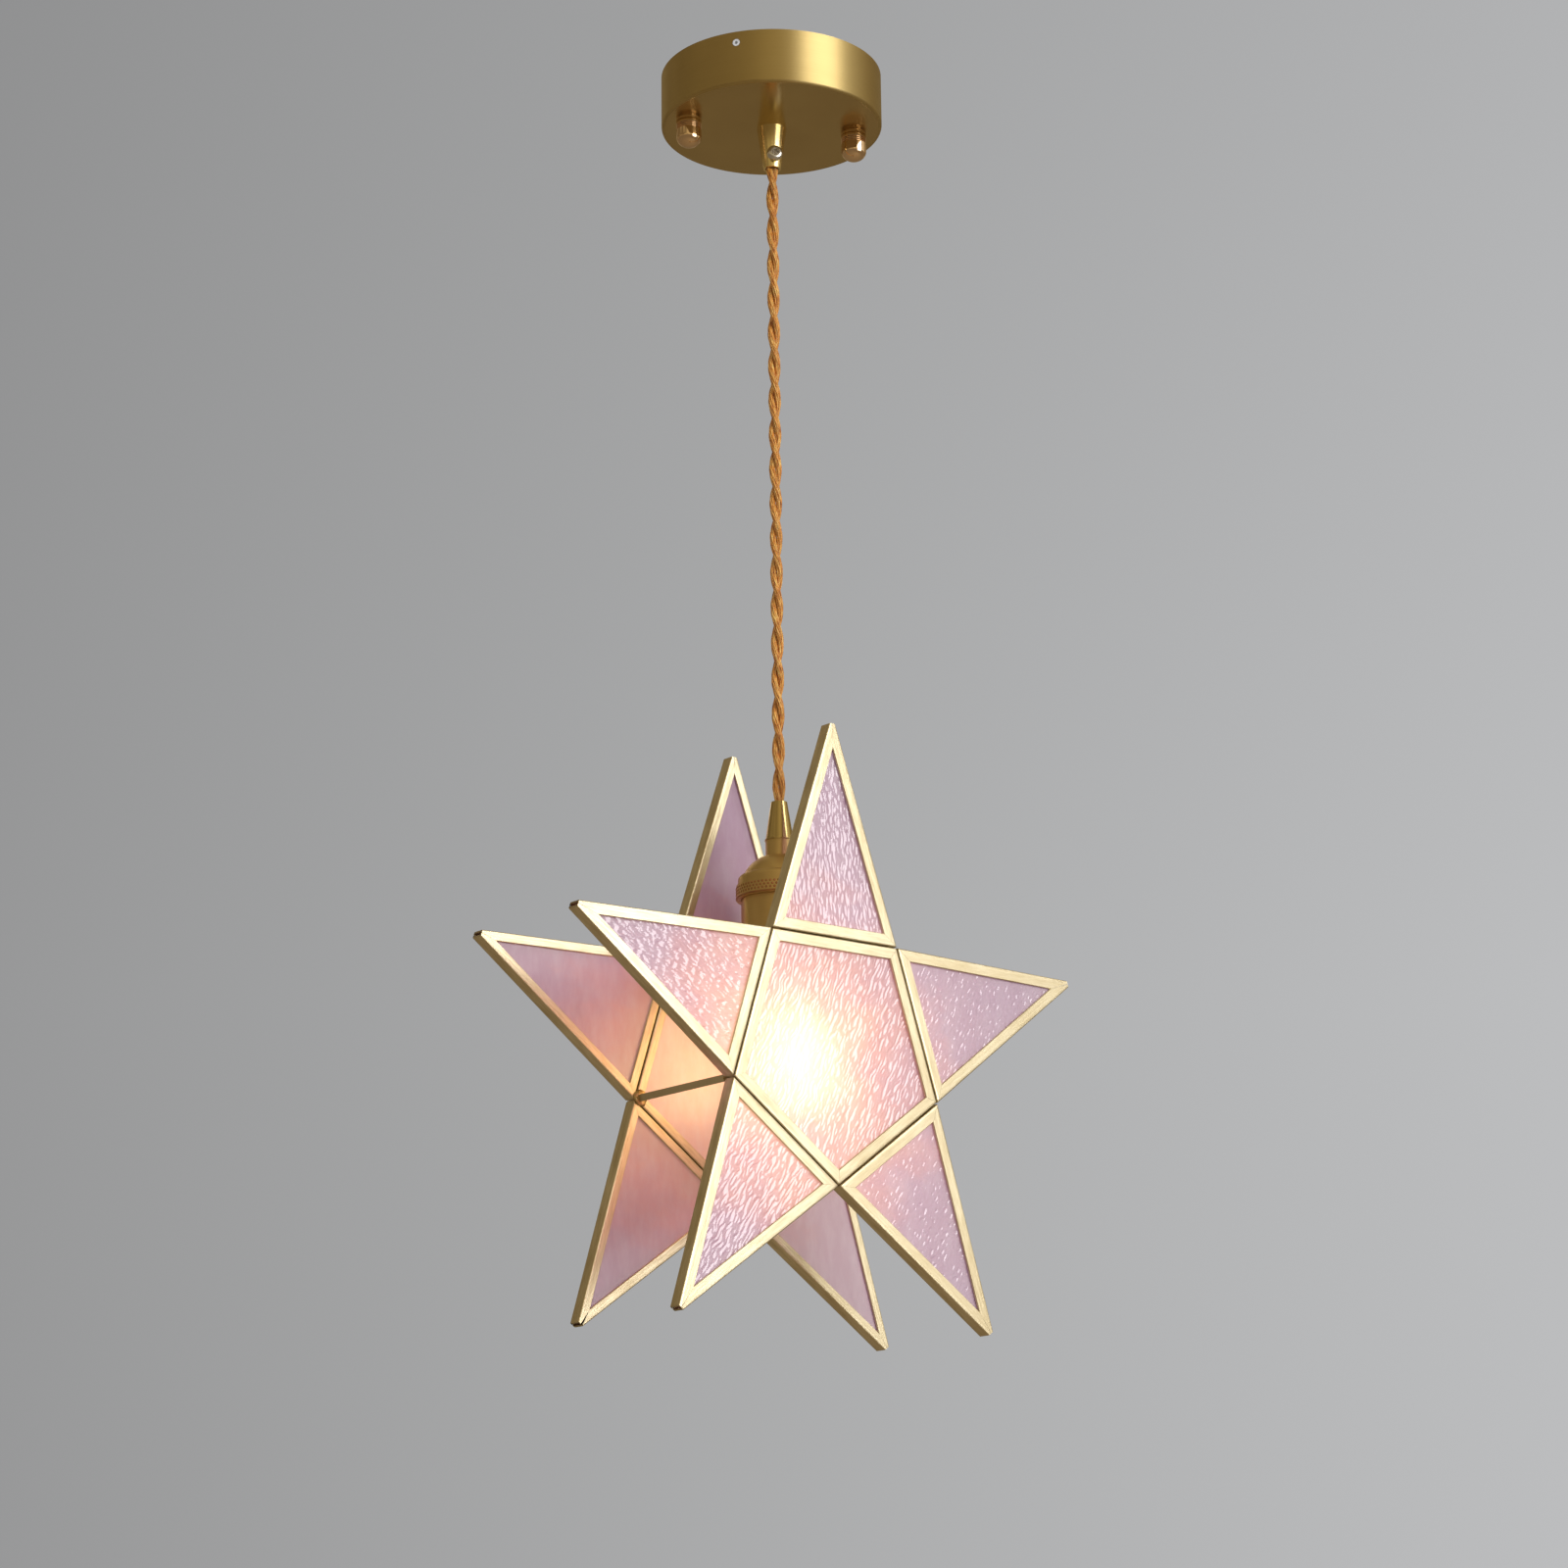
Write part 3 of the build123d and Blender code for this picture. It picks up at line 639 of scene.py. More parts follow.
def opal_bulb():
    """Lit opal glass: golden where brass mirrors it, a little brighter through a pane."""
    material, t, inputs = new_material("lit_opal_glass")
    cloud = t.noise(t.coords(), 60.0, 2.0)
    t.join(t.mix(cloud, (1.0, 0.93, 0.82, 1), (1.0, 0.97, 0.9, 1)), inputs["Base Color"])
    set_plain(inputs, Roughness=0.25)
    light = t.add("ShaderNodeLightPath").outputs
    warm = t.mix(cloud, (1.0, 0.74, 0.44, 1), (1.0, 0.78, 0.5, 1))
    golden = t.mix(light["Is Glossy Ray"], warm, (1.0, 0.6, 0.2, 1))
    t.join(golden, inputs["Emission Color"])
    t.join(t.range(light["Is Transmission Ray"], 0.0, 1.0, 1.6, 2.0), inputs["Emission Strength"])
    return material


satin_brass = turned_brass(
    "spun_satin_brass", (0.58, 0.45, 0.2), (0.36, 0.24, 0.08), 0.45, 0.2, anisotropy=0.72,
    face_roughness=0.2,
)
holder_brass = turned_brass(
    "dull_holder_brass", (0.76, 0.57, 0.26), (0.46, 0.3, 0.12), 0.4, 0.35, anisotropy=0.6
)
polished_brass = turned_brass(
    "polished_brass", (0.86, 0.64, 0.42), (0.42, 0.24, 0.12), 0.08, 0.2, across=2600.0
)
bright_brass = turned_brass(
    "bright_turned_brass", (0.92, 0.76, 0.38), (0.5, 0.34, 0.12), 0.22, 0.1, across=2600.0
)
came_brass = strip_brass()
knurl_brass = plain_metal("reddish_knurl_brass", (0.6, 0.31, 0.15), (0.22, 0.08, 0.03), 0.36, 0.7)
solder_metal = plain_metal("brass_solder", (0.66, 0.5, 0.24), (0.25, 0.16, 0.07), 0.3, 0.6)
white_nickel = moulded("white_nickel", (0.86, 0.86, 0.84), 0.3, coat=0.6)
bright_steel = plain_metal("bright_steel", (0.75, 0.74, 0.72), (0.4, 0.38, 0.36), 0.22)
zinc_steel = plain_metal("zinc_steel", (0.56, 0.58, 0.6), (0.36, 0.37, 0.38), 0.38, 0.5)
contact_metal = plain_metal("contact_metal", (0.74, 0.62, 0.4), (0.4, 0.3, 0.16), 0.3)
terminal_plastic = moulded("terminal_plastic", (0.82, 0.79, 0.7), 0.45)
ceramic = moulded("glazed_ceramic", (0.84, 0.81, 0.75), 0.25, coat=0.4)
black_glass = moulded("black_glass", (0.03, 0.03, 0.035), 0.15, coat=0.5)
silk = amber_silk()
# peach, the warm near colour, is painted warm light of the bulb; rose is partly the glass's pink
# and partly painted warmth; lilac is the glass's own colour.
lilac, rose, peach = (0.6, 0.42, 0.53), (0.84, 0.43, 0.43), (0.95, 0.6, 0.44)
front_middle_glass = glass_with_painted_glow("rose_pane_glass", lilac, rose, peach, 0.5, 0.15)
front_point_glass = glass_with_painted_glow("mauve_pane_glass", lilac, rose, peach, 0.4, 0.24)
# Darker copies of the same colours for the back star, whose inner faces the camera sees: painted
# shade. These panes also get less painted glow.
shaded_lilac, shaded_rose, shaded_peach = (0.58, 0.36, 0.5), (0.74, 0.31, 0.36), (0.92, 0.42, 0.3)
back_middle_glass = glass_with_painted_glow("painted_shade_rose_glass", shaded_lilac, shaded_rose, shaded_peach, 0.1, 0.1)
back_point_glass = glass_with_painted_glow("painted_shade_mauve_glass", shaded_lilac, shaded_rose, shaded_rose, 0.0, 0.08)
pane_glass = {
    "front": (front_middle_glass, front_point_glass),
    "back": (back_middle_glass, back_point_glass),
}
bulb_glass = opal_bulb()


# ---- Stars: folded came strips and rippled panes ---------------------------------------

point_names = ["top", "upper_right", "lower_right", "lower_left", "upper_left"]
star_sides = ((-1, "front"), (1, "back"))
point_turn = 360 / len(point_names)
apothem = star_inner_r * math.cos(math.radians(point_turn / 2))


def polar(radius, degrees):
    """A flat point from its distance and its angle, from +X round to the second axis."""
    angle = math.radians(degrees)
    return Vector((radius * math.cos(angle), radius * math.sin(angle)))


def corner_turn(k):
    """Angle of the inner corner after point k, clockwise from the top."""
    return 90 - point_turn * (k + 0.5)


def pentagon_outline():
    outline_r = (apothem - came_gap / 2) / math.cos(math.radians(point_turn / 2))
    return [polar(outline_r, corner_turn(k)) for k in range(len(point_names))]


def point_outline(turn):
    """The triangle of a point that is turned clockwise from the top, past the seam."""
    half_base = star_inner_r * math.sin(math.radians(point_turn / 2))
    base = apothem + came_gap / 2
    half_width = half_base * (star_point_r - base) / (star_point_r - apothem)
    out, side = polar(1, 90 - turn), polar(1, -turn)
    return [
        out * base + side * half_width,
        out * base - side * half_width,
        out * star_point_r,
    ]


def on_star(side, flat, depth):
    """A point of a star's plane as a place in space. depth runs towards the viewer."""
    return Vector((flat.x, side * star_spacing / 2 - depth, star_z + flat.y))


def channel_section(side):
    """The U channel's outline as (inward distance, depth), with rounded folds.

    The lips have a point where a tip's square cut meets the mitre, so both stay flat.
    """
    half = came_t / 2
    steps = 4
    folds = []
    for corner, start in ((half, 90), (-half, 180)):
        middle = Vector((came_fold_r, math.copysign(half - came_fold_r, corner)))
        for k in range(steps + 1):
            angle = math.radians(start + 90 * k / steps)
            folds.append(middle + came_fold_r * Vector((math.cos(angle), math.sin(angle))))
    lips = (came_w, came_w_inside) if side < 0 else (came_w_inside, came_w)
    inner = half - came_wall
    nose = 0.3 * came_wall
    cut = star_tip_cut * math.sin(math.radians(point_turn / 4))
    return (
        [Vector((lips[0], half - nose)), Vector((lips[0] - nose, half)), Vector((cut, half))]
        + folds
        + [Vector((cut, -half)), Vector((lips[1] - nose, -half))]
        + [Vector((lips[1], -half + nose)), Vector((lips[1], -inner)), Vector((cut, -inner))]
        + [Vector((came_wall, -inner)), Vector((came_wall, inner))]
        + [Vector((cut, inner)), Vector((lips[0], inner))]
    )


def outline_side(outline, k):
    """One side of an outline: where it starts and ends, and the ways along and inward."""
    start, end = outline[k], outline[(k + 1) % len(outline)]
    middle = sum(outline, Vector((0, 0))) / len(outline)
    along = (end - start).normalized()
    inward = Vector((-along.y, along.x))
    if inward.dot(middle - start) < 0:
        inward = -inward
    return start, end, along, inward


def cut_back(start, along, across, place, tip):
    """A place along a strip, drawn back where its edge lies past the tip's square cut."""
    axis, limit = tip
    over = (start + along * place + across).dot(axis) - limit
    if over <= 0:
        return place
    return place - over / along.dot(axis)


def came_strips(name, side, outline, tip=None):
    """One folded strip along each side of a pane, mitred where it meets the next."""
    mesh = bmesh.new()
    section = channel_section(side)
    for k in range(len(outline)):
        start, end, along, inward = outline_side(outline, k)
        before, after = outline[k - 1], outline[(k + 2) % len(outline)]
        length = (end - start).length
        corner_angles = (
            along.angle((before - start).normalized()),
            (-along).angle((after - end).normalized()),
        )
        slopes = [1 / math.tan(angle / 2) for angle in corner_angles]
        rings = [[], []]
        for u, w in section:
            across = inward * u
            ends = [u * slopes[0] + seam_gap / 2, length - u * slopes[1] - seam_gap / 2]
            if tip:
                ends = [cut_back(start, along, across, place, tip) for place in ends]
            for ring, place in zip(rings, ends):
                ring.append(on_star(side, start + along * place + across, w))
        # Each strip takes its brush lines from another stretch of the pattern.
        shift = 7.3 * k + 100 * abs(start.x)
        skin_rings(mesh, rings, [shift, shift + length / brush_unit])
    bmesh.ops.recalc_face_normals(mesh, faces=mesh.faces)
    return finish_piece(name, mesh, came_brass, "lantern", 30)


def inset(outline, amount):
    """An outline taken in by the same amount on every side."""
    moved = []
    for k in range(len(outline)):
        lines = []
        for side in (k - 1, k):
            start, _, along, inward = outline_side(outline, side)
            lines.append((start + inward * amount, along))
        (p, d), (q, e) = lines
        cross = d.x * e.y - d.y * e.x
        moved.append(p + d * ((q - p).x * e.y - (q - p).y * e.x) / cross)
    return moved


def ripple_depth(x, y, grain, seed, coarse, share):
    """How deep the drawn sheet dips at a point, from 0 to about 1. Waves are sized in mm."""
    angle = math.radians(grain)
    u = (x * math.cos(angle) + y * math.sin(angle)) / mm
    v = (y * math.cos(angle) - x * math.sin(angle)) / mm

    def waves(long, wide, layer, drift=0.0):
        return noise.noise(Vector((u / long, (v + drift) / wide, seed + layer)))

    drift = 1.1 * waves(6, 6, 0)
    crest = waves(6.5 * coarse, 1.4 * coarse, 7, drift)
    fine = waves(2.6, 0.9, 13)
    swell = waves(14, 6, 21)
    return share * (1.2 * abs(crest) ** 0.8 + 0.2 * fine) + 0.2 * swell + 0.12


def flat_grid(mesh, corners, pitch):
    """A grid of small squares over a pane's outline, in the XY plane."""
    low = Vector((min(c.x for c in corners), min(c.y for c in corners)))
    high = Vector((max(c.x for c in corners), max(c.y for c in corners)))
    across, tall = (math.ceil(s / pitch) for s in (high - low))
    rows = []
    for j in range(tall + 1):
        row = []
        for i in range(across + 1):
            row.append(mesh.verts.new((low.x + i * pitch, low.y + j * pitch, 0)))
        rows.append(row)
    for j in range(tall):
        for i in range(across):
            mesh.faces.new((rows[j][i], rows[j][i + 1], rows[j + 1][i + 1], rows[j + 1][i]))


def edge_cuts(corners, tip):
    """(place, outward direction) of every straight cut that trims a pane."""
    cuts = []
    for k in range(len(corners)):
        start, _, _, inward = outline_side(corners, k)
        cuts.append((start, -inward))
    if tip:
        axis, limit = tip
        cuts.append((axis * (limit - came_w), axis))
    return cuts


def rippled_pane(name, side, outline, sheet, seed, material, tip=None):
    """Sheet glass cut to its came: smooth inside, rippled on the face turned outward.

    sheet is the ripples' (direction in degrees, coarseness, share of the full depth).
    """
    corners = inset(outline, glass_edge)
    mesh = bmesh.new()
    flat_grid(mesh, corners, ripple_mesh)
    for place, out in edge_cuts(corners, tip):
        bmesh.ops.bisect_plane(
            mesh,
            geom=mesh.verts[:] + mesh.edges[:] + mesh.faces[:],
            plane_co=(*place, 0),
            plane_no=(*out, 0),
            clear_outer=True,
        )
    rim = [edge for edge in mesh.edges if edge.is_boundary]
    face_verts = mesh.verts[:]
    made = bmesh.ops.extrude_edge_only(mesh, edges=rim)["geom"]
    walls = [v for v in made if isinstance(v, bmesh.types.BMVert)]
    back_rim = [e for e in made if isinstance(e, bmesh.types.BMEdge)]
    grain, coarse, share = sheet
    for vert in face_verts:
        dip = ripple_depth(vert.co.x, vert.co.y, grain, seed, coarse, share)
        vert.co.z = glass_t / 2 - ripple_h * min(1.0, max(0.0, dip))
    for vert in walls:
        vert.co.z = -glass_t / 2
    bmesh.ops.edgeloop_fill(mesh, edges=back_rim)
    for vert in mesh.verts:
        vert.co = on_star(side, vert.co.xy, -side * vert.co.z)
    bmesh.ops.recalc_face_normals(mesh, faces=mesh.faces)
    return finish_piece(name, mesh, material, "lantern", 50)


def tip_of(turn):
    """A point's direction, and how far out its tip is cut square."""
    return polar(1, 90 - turn), star_point_r - star_tip_cut


# Each pane is cut from the sheet another way: (direction, coarseness, depth).
middle_sheet = (62, 1.0, 0.8)
sheet_of = {
    "top": (95, 0.85, 1.0),
    "upper_right": (58, 0.6, 0.55),
    "lower_right": (52, 0.6, 0.5),
    "lower_left": (52, 1.0, 1.0),
    "upper_left": (-18, 0.7, 0.75),
}
for side, star in star_sides:
    outline = pentagon_outline()
    strips = came_strips(f"{star}_middle_strips", side, outline)
    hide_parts(f"{star}_middle_came")
    pane = rippled_pane(
        f"{star}_middle_pane", side, outline, middle_sheet, 3 + side, pane_glass[star][0]
    )
    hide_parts(f"{star}_middle_glass")
    for k, point in enumerate(point_names):
        outline = point_outline(k * point_turn)
        tip = tip_of(k * point_turn)
        strips = came_strips(f"{star}_{point}_strips", side, outline, tip)
        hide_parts(f"{star}_{point}_came")
        pane = rippled_pane(
            f"{star}_{point}_pane", side, outline, sheet_of[point], 11 * k + side,
            pane_glass[star][1], tip,
        )
        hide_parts(f"{star}_{point}_glass")


# ---- Cap nuts under the canopy ---------------------------------------------------------

def nut_profile():
    """Half the outline of a cap nut, from its seat down: grooves, barrel, rounded end."""
    outline = [(0, 0), (nut_r - nut_edge, 0), (nut_r, -nut_edge)]
    floor_r = nut_r - nut_groove_deep
    for down in nut_grooves:
        foot = down + nut_groove_h
        outline += [
            (nut_r, -down + nut_groove_soft),
            (nut_r - nut_groove_soft, -down),
            (floor_r, -down - nut_groove_soft),
            (floor_r, -foot + nut_groove_soft),
            (nut_r - nut_groove_soft, -foot),
            (nut_r, -foot - nut_groove_soft),
        ]
    steps = 14
    for k in range(steps):
        angle = math.pi / 2 * k / steps
        outline.append(
            (nut_r * math.cos(angle), -nut_h + nut_round_h * (1 - math.sin(angle)))
        )
    return outline + [(0, -nut_h)]


def turned_solid(mesh, centre, profile, around=64):
    """Turns a profile of (radius, height) about the vertical line through centre."""
    rows = []
    for radius, z in profile:
        if radius == 0:
            rows.append([mesh.verts.new(centre + Vector((0, 0, z)))])
            continue
        row = []
        for k in range(around):
            flat = polar(radius, 360 * k / around)
            row.append(mesh.verts.new(centre + Vector((flat.x, flat.y, z))))
        rows.append(row)
    for near, far in zip(rows, rows[1:]):
        for k in range(around):
            n = (k + 1) % around
            places = ((near, k), (near, n), (far, n), (far, k))
            ring = [row[i % len(row)] for row, i in places]
            mesh.faces.new([v for j, v in enumerate(ring) if v is not ring[j - 1]])


def cap_nut_pair():
    """Both cap nuts, at opposite corners of the pair's box."""
    low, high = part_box("cap_nuts")
    size = high - low
    mesh = bmesh.new()
    for way in (1, -1):
        # The pair's line runs from back left to front right.
        centre = Vector((way * (size.x / 2 - nut_r), -way * (size.y / 2 - nut_r), high.z))
        turned_solid(mesh, centre, nut_profile())
    bmesh.ops.recalc_face_normals(mesh, faces=mesh.faces)
    return finish_piece("cap_nut_pair", mesh, polished_brass, "ceiling_mount", 30)


nut_pair = cap_nut_pair()
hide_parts("cap_nuts")


# ---- The bulb's screw cap --------------------------------------------------------------

def screw_cap():
    """A rolled right-handed thread that runs out at both ends."""
    low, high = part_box("bulb_cap")
    radius = (high.x - low.x) / 2
    around, steps = 72, 90
    rings = []
    for k in range(steps + 1):
        z = low.z + (high.z - low.z) * k / steps
        full = min(1.0, (z - low.z) / thread_fade, (high.z - z) / thread_fade)
        ring = []
        for i in range(around):
            wave = 0.5 - 0.5 * math.cos(2 * math.pi * (z / thread_pitch - i / around))
            flat = polar(radius - thread_deep * wave * full, 360 * i / around)
            ring.append(Vector((flat.x, flat.y, z)))
        rings.append(ring)
    mesh = skin_rings(bmesh.new(), rings)
    bmesh.ops.recalc_face_normals(mesh, faces=mesh.faces)
    return finish_piece("bulb_screw_cap", mesh, contact_metal, "bulb", 60)


cap = screw_cap()
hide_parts("bulb_cap")


# ---- Solder and the lampholder's knurled band ------------------------------------------

def solder_blobs(name, side):
    """Uneven domes of solder over the struts' feet, on a star's inner face."""
    mesh = bmesh.new()
    face = came_t / 2 * side
    for k in range(len(point_names)):
        flat = polar(star_inner_r - strut_inset, corner_turn(k))
        blob = bmesh.ops.create_icosphere(mesh, subdivisions=4, radius=1.0)["verts"]
        for vert in blob:
            bump = noise.noise(vert.co * 1.7 + Vector((k * 5, side * 3, 0)))
            reach = solder_r * (1 + 0.16 * bump)
            rise = solder_h * max(0.0, vert.co.z) * (1 + 0.3 * bump)
            place = flat + Vector((vert.co.x, vert.co.y)) * reach
            vert.co = on_star(side, place, face) - Vector((0, side * min(rise, solder_h), 0))
    bmesh.ops.recalc_face_normals(mesh, faces=mesh.faces)
    return finish_piece(name, mesh, solder_metal, "lantern", 60)


def knurl_tree():
    """Geometry nodes: small six-sided studs set round a circle, for one row."""
    tree = bpy.data.node_groups.new("knurl_rows", "GeometryNodeTree")
    sockets = tree.interface
    sockets.new_socket(name="Geometry", in_out="OUTPUT", socket_type="NodeSocketGeometry")
    for title, kind in (
        ("Count", "Int"), ("Radius", "Float"), ("Size", "Float"), ("Height", "Float"),
        ("Turn", "Float"),
    ):
        sockets.new_socket(name=title, in_out="INPUT", socket_type="NodeSocket" + kind)
    sockets.new_socket(name="Metal", in_out="INPUT", socket_type="NodeSocketMaterial")
    t = Tree(tree)
    given = t.add("NodeGroupInput").outputs
    result = t.add("NodeGroupOutput").inputs
    circle = t.add("GeometryNodeMeshCircle")
    t.join(given["Count"], circle.inputs["Vertices"])
    t.join(given["Radius"], circle.inputs["Radius"])
    stud = t.add("GeometryNodeMeshCone")
    stud.inputs["Vertices"].default_value = 6
    stud.inputs["Side Segments"].default_value = 1
    t.join(given["Size"], stud.inputs["Radius Bottom"])
    t.join(t.sum("MULTIPLY", given["Size"], stud_top), stud.inputs["Radius Top"])
    t.join(t.sum("MULTIPLY", given["Size"], stud_rise), stud.inputs["Depth"])
    outward = t.add("FunctionNodeAlignRotationToVector", axis="Z")
    t.join(t.add("GeometryNodeInputPosition").outputs[0], outward.inputs["Vector"])
    copies = t.add("GeometryNodeInstanceOnPoints")
    t.join(circle.outputs[0], copies.inputs["Points"])
    t.join(stud.outputs["Mesh"], copies.inputs["Instance"])
    t.join(outward.outputs[0], copies.inputs["Rotation"])
    place = t.add("GeometryNodeTransform")
    t.join(copies.outputs[0], place.inputs["Geometry"])
    t.join(t.combine(z=given["Height"]), place.inputs["Translation"])
    t.join(t.combine(z=given["Turn"]), place.inputs["Rotation"])
    real = t.add("GeometryNodeRealizeInstances")
    t.join(place.outputs[0], real.inputs[0])
    painted = t.add("GeometryNodeSetMaterial")
    t.join(real.outputs[0], painted.inputs[0])
    t.join(given["Metal"], painted.inputs["Material"])
    t.join(painted.outputs[0], result[0])
    return tree


def add_stud_row(band, tree, z, turn):
    """Adds one row of studs, as made by the node tree, to the band's mesh."""
    named = {item.name: item.identifier for item in tree.interface.items_tree}
    data = bpy.data.meshes.new("knurl_row")
    carrier = bpy.data.objects.new("knurl_row", data)
    bpy.context.scene.collection.objects.link(carrier)
    modifier = carrier.modifiers.new("studs", "NODES")
    modifier.node_group = tree
    for title, value in (
        ("Count", knurl_count), ("Radius", band_r), ("Size", knurl_size), ("Height", z),
        ("Turn", turn), ("Metal", knurl_brass),
    ):
        modifier[named[title]] = value
    bpy.context.view_layer.update()
    evaluated = carrier.evaluated_get(bpy.context.evaluated_depsgraph_get())
    made = bpy.data.meshes.new_from_object(evaluated)
    band.from_mesh(made)
    bpy.data.objects.remove(carrier)
    bpy.data.meshes.remove(made)
    bpy.data.meshes.remove(data)


def add_rolled_lip(band, steps=96, sides=8):
    """Adds the thin bead under the studs."""
    loop = []
    for i in range(steps):
        angle = 2 * math.pi * i / steps
        out = Vector((math.cos(angle), math.sin(angle), 0))
        middle = out * (band_r - lip_sunk) + Vector((0, 0, lip_z))
        ring = []
        for j in range(sides):
            turn = 2 * math.pi * j / sides
            rise = Vector((0, 0, lip_bead_r * math.sin(turn)))
            ring.append(band.verts.new(middle + out * lip_bead_r * math.cos(turn) + rise))
        loop.append(ring)
    for i in range(steps):
        near, far = loop[i], loop[(i + 1) % steps]
        for j in range(sides):
            n = (j + 1) % sides
            band.faces.new((near[j], near[n], far[n], far[j]))


def knurled_band():
    """Three staggered rows of pressed studs over a rolled lip, round the band."""
    tree = knurl_tree()
    band = bmesh.new()
    for row, z in enumerate(knurl_rows):
        add_stud_row(band, tree, z, math.pi / knurl_count * (row % 2))
    add_rolled_lip(band)
    bmesh.ops.recalc_face_normals(band, faces=band.faces)
    return finish_piece("knurled_band", band, knurl_brass, "lantern", 35)


for side, star in star_sides:
    blobs = solder_blobs(f"{star}_solder_blobs", side)
    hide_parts(f"{star}_solder_joints")
knurl = knurled_band()


# ---- Cord pieces -----------------------------------------------------------------------

strands, cord_path = twisted_strands("cord_strands", cord_top_z, cord_foot_z, silk, "cord")
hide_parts("pendant_cord")
for node, body in (
    ("cord_tail_in_canopy", "ceiling_mount"),
    ("cord_tail_in_lampholder", "lower_grip"),
):
    low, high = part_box(node)
    tail, _ = twisted_strands(f"{node}_strands", high.z, low.z, silk, body)
    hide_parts(node)


# ---- CAD nodes that stay, with their finishes ------------------------------------------

finish_of = {
    "ceiling_bracket": zinc_steel,
    "bracket_studs": zinc_steel,
    "earth_screw": zinc_steel,
    "canopy_cup": satin_brass,
    "canopy_side_screw": white_nickel,
    "canopy_side_nut": zinc_steel,
    "terminal_block": terminal_plastic,
    "terminal_screws": bright_steel,
    "canopy_cord_grip": bright_brass,
    "canopy_grip_screw": bright_steel,
    "canopy_grip_nut": satin_brass,
    "lampholder_cord_grip": satin_brass,
    "lampholder_grip_screw": bright_steel,
    "lampholder_cap": holder_brass,
    "lampholder_shell": holder_brass,
    "lampholder_core": ceramic,
    "contact_sleeve": contact_metal,
    "centre_contact": contact_metal,
    "shade_ring": holder_brass,
    "lamp_strap": came_brass,
    "bulb_insulator": black_glass,
    "bulb_tip": contact_metal,
    "bulb_globe": bulb_glass,
}
for node, material in finish_of.items():
    paint(nodes[node].data, material)
for node, piece in nodes.items():
    if node.startswith("strut_"):
        paint(piece.data, came_brass)


# ---- Room and lights -------------------------------------------------------------------

def make_floor():
    """A pale floor far below. Glossy rays see it darker and warmer: a painted reflection tone,
    not its own colour.
    """
    mesh = bmesh.new()
    bmesh.ops.create_grid(mesh, x_segments=1, y_segments=1, size=floor_size)
    data = bpy.data.meshes.new("floor")
    mesh.to_mesh(data)
    mesh.free()
    floor = bpy.data.objects.new("floor", data)
    floor.location.z = floor_z
    bpy.context.scene.collection.objects.link(floor)
    material, t, inputs = new_material("pale_floor")
    pale = t.mix(t.noise(t.coords(), 3.0), (0.58, 0.58, 0.58, 1), (0.66, 0.66, 0.66, 1))
    # Painted reflection: metal and glass mirror the floor in a darker, warmer colour than the
    # camera sees.
    mirrored = t.add("ShaderNodeLightPath").outputs["Is Glossy Ray"]
    t.join(t.mix(mirrored, pale, (0.38, 0.28, 0.15, 1)), inputs["Base Color"])
    set_plain(inputs, Roughness=0.7)
    data.materials.append(material)
    floor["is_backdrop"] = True


def backdrop_tone(t, toward):
    """Plain grey, lighter to the right of the photograph's view and towards the floor."""
    x, y, z = t.split(toward)
    turn = math.radians(backdrop_turn)
    right = t.sum("MULTIPLY", x, math.cos(turn))
    right = t.sum("SUBTRACT", right, t.sum("MULTIPLY", y, math.sin(turn)))
    grey = t.ramp(
        t.range(right, -0.3, 0.3, 0.0, 1.0),
        [(0.0, (0.27, 0.27, 0.273)), (0.5, (0.408, 0.411, 0.415)), (1.0, (0.545, 0.55, 0.56))],
    )
    return t.mix(t.range(z, 0.2, 0.45, 0.0, 0.16), grey, (0.1, 0.1, 0.1, 1))


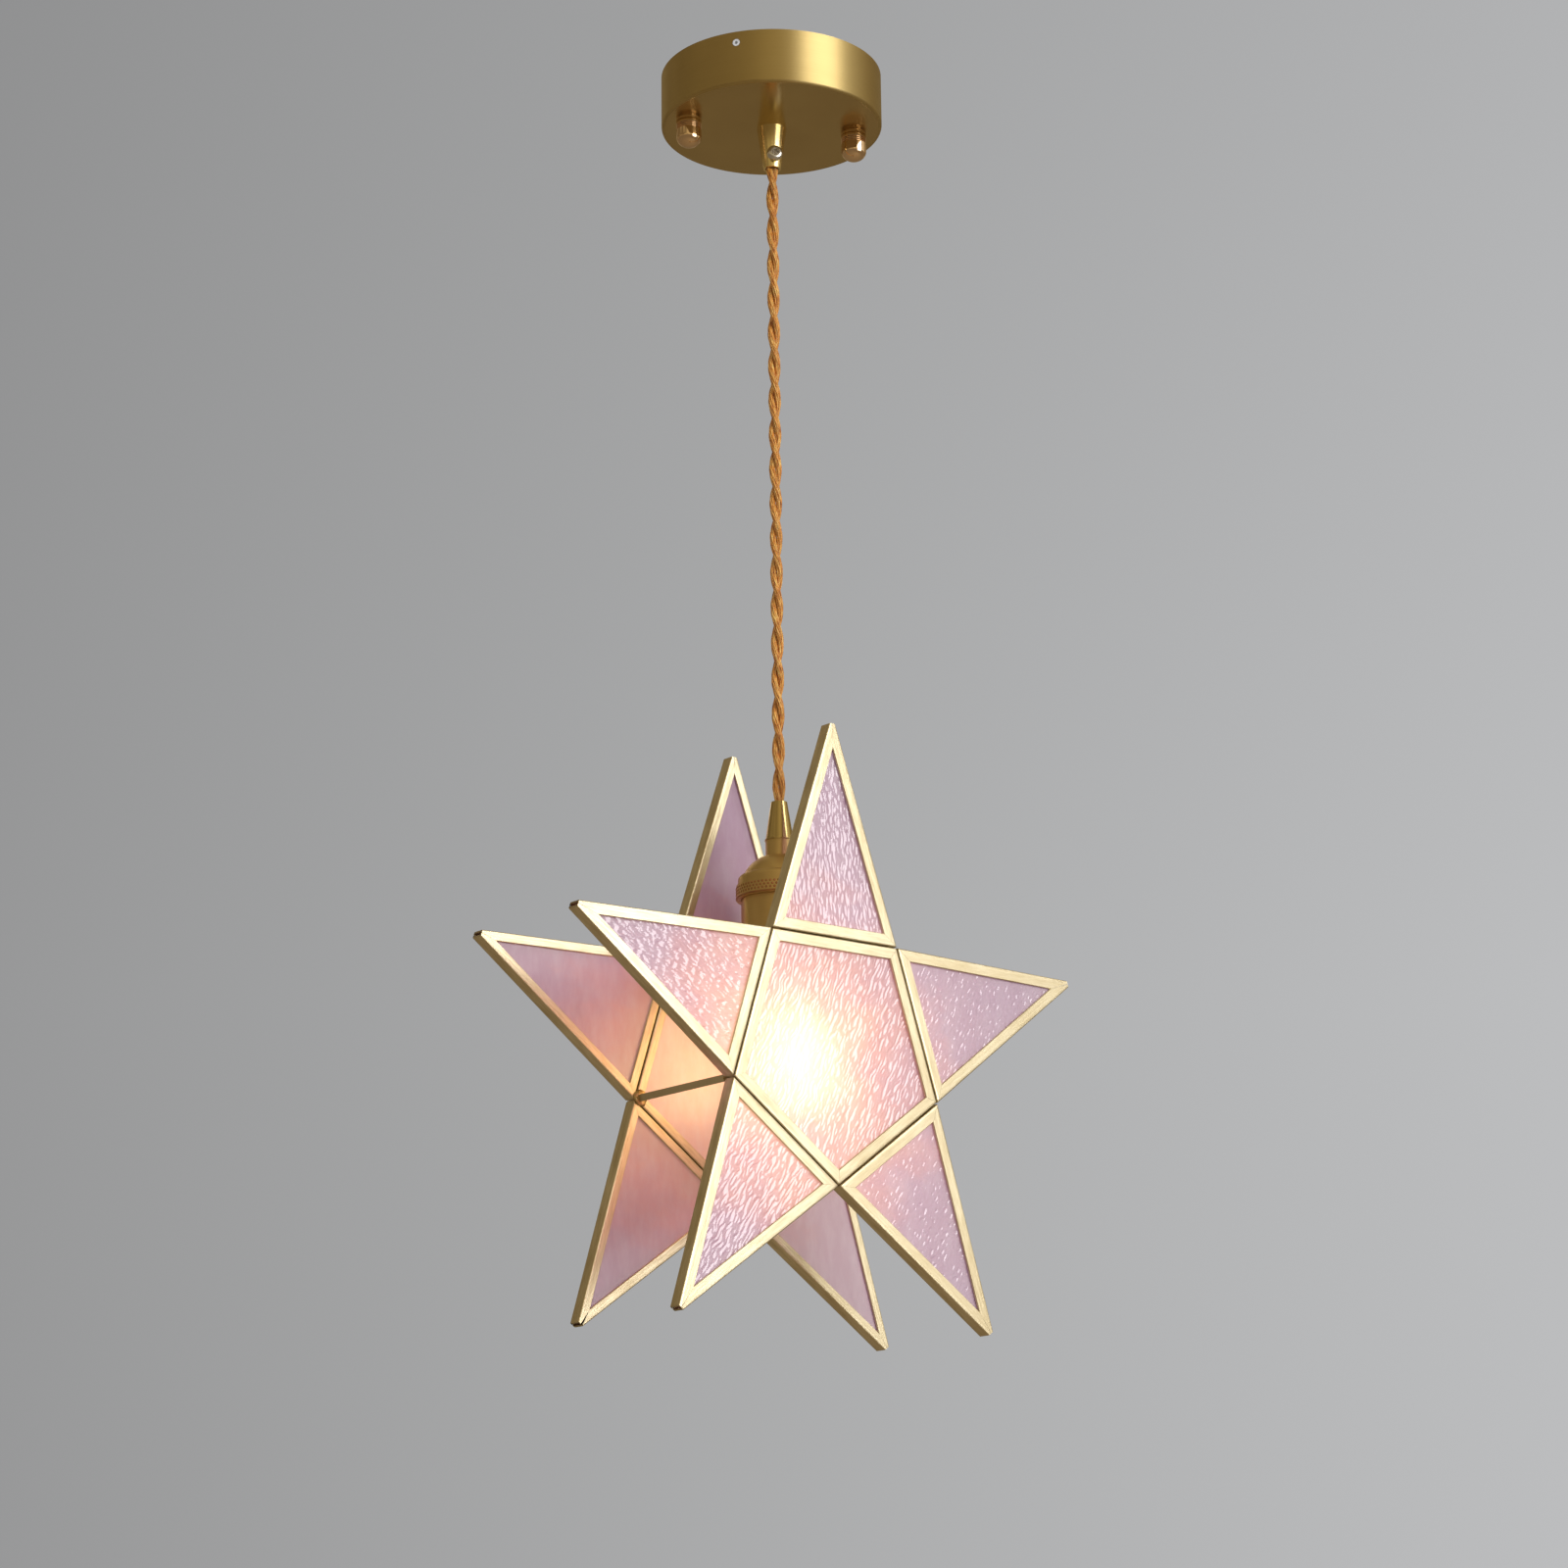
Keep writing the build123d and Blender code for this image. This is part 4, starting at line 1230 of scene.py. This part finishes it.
def mirrored_room(t, toward):
    """What metal and glass mirror: warm light from the camera's side, dark behind."""
    room = t.ramp(
        t.range(t.split(toward)[1], -1.0, 0.6, 0.0, 1.0),
        [(0.0, (0.66, 0.52, 0.28)), (0.2, (0.53, 0.41, 0.2)), (0.55, (0.25, 0.175, 0.075)),
         (1.0, (0.19, 0.13, 0.055))],
    )
    facing = t.add("ShaderNodeVectorMath", operation="DOT_PRODUCT")
    t.join(toward, facing.inputs[0])
    facing.inputs[1].default_value = panel_toward
    panel = t.range(facing.outputs["Value"], 0.82, 0.99, 0.0, 1.0)
    room = t.mix(panel, room, (0.95, 0.88, 0.74, 1))
    clutter = t.range(t.noise(toward, 4.5, 2.0), 0.38, 0.62, 0.0, 1.0)
    shadowed = t.mix(0.4, room, (0, 0, 0, 1))
    lit = t.mix(0.25, room, (1.0, 0.85, 0.55, 1))
    return t.mix(clutter, shadowed, lit)


def make_world():
    """The backdrop for the camera, the room for reflections, and soft light from around."""
    world = bpy.data.worlds.new("studio")
    bpy.context.scene.world = world
    world.use_nodes = True
    t = Tree(world.node_tree)
    toward = t.coords("Generated")
    light = t.add("ShaderNodeLightPath").outputs
    seen = t.sum("MAXIMUM", light["Is Camera Ray"], light["Is Transmission Ray"])
    unseen = t.mix(light["Is Glossy Ray"], (0.54, 0.54, 0.56, 1), mirrored_room(t, toward))
    background = world.node_tree.nodes["Background"].inputs["Color"]
    t.join(t.mix(seen, unseen, backdrop_tone(t, toward)), background)


def softbox(name, place, aim, width, height, power):
    """A rectangular lamp, in metres and watts, that faces its aim."""
    data = bpy.data.lights.new(name, "AREA")
    data.shape = "RECTANGLE"
    data.size = width
    data.size_y = height
    data.energy = power
    lamp = bpy.data.objects.new(name, data)
    lamp.location = place
    lamp.rotation_mode = "QUATERNION"
    lamp.rotation_quaternion = (Vector(aim) - Vector(place)).to_track_quat("-Z", "Y")
    bpy.context.scene.collection.objects.link(lamp)


make_floor()
make_world()
softbox(
    "front_softbox",
    place=(0.484, -2.095, 0.2),
    aim=(0, 0, -0.35),
    width=1.48,
    height=2.2,
    power=38,
)

bpy.context.scene.view_settings.view_transform = "Standard"

low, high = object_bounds()
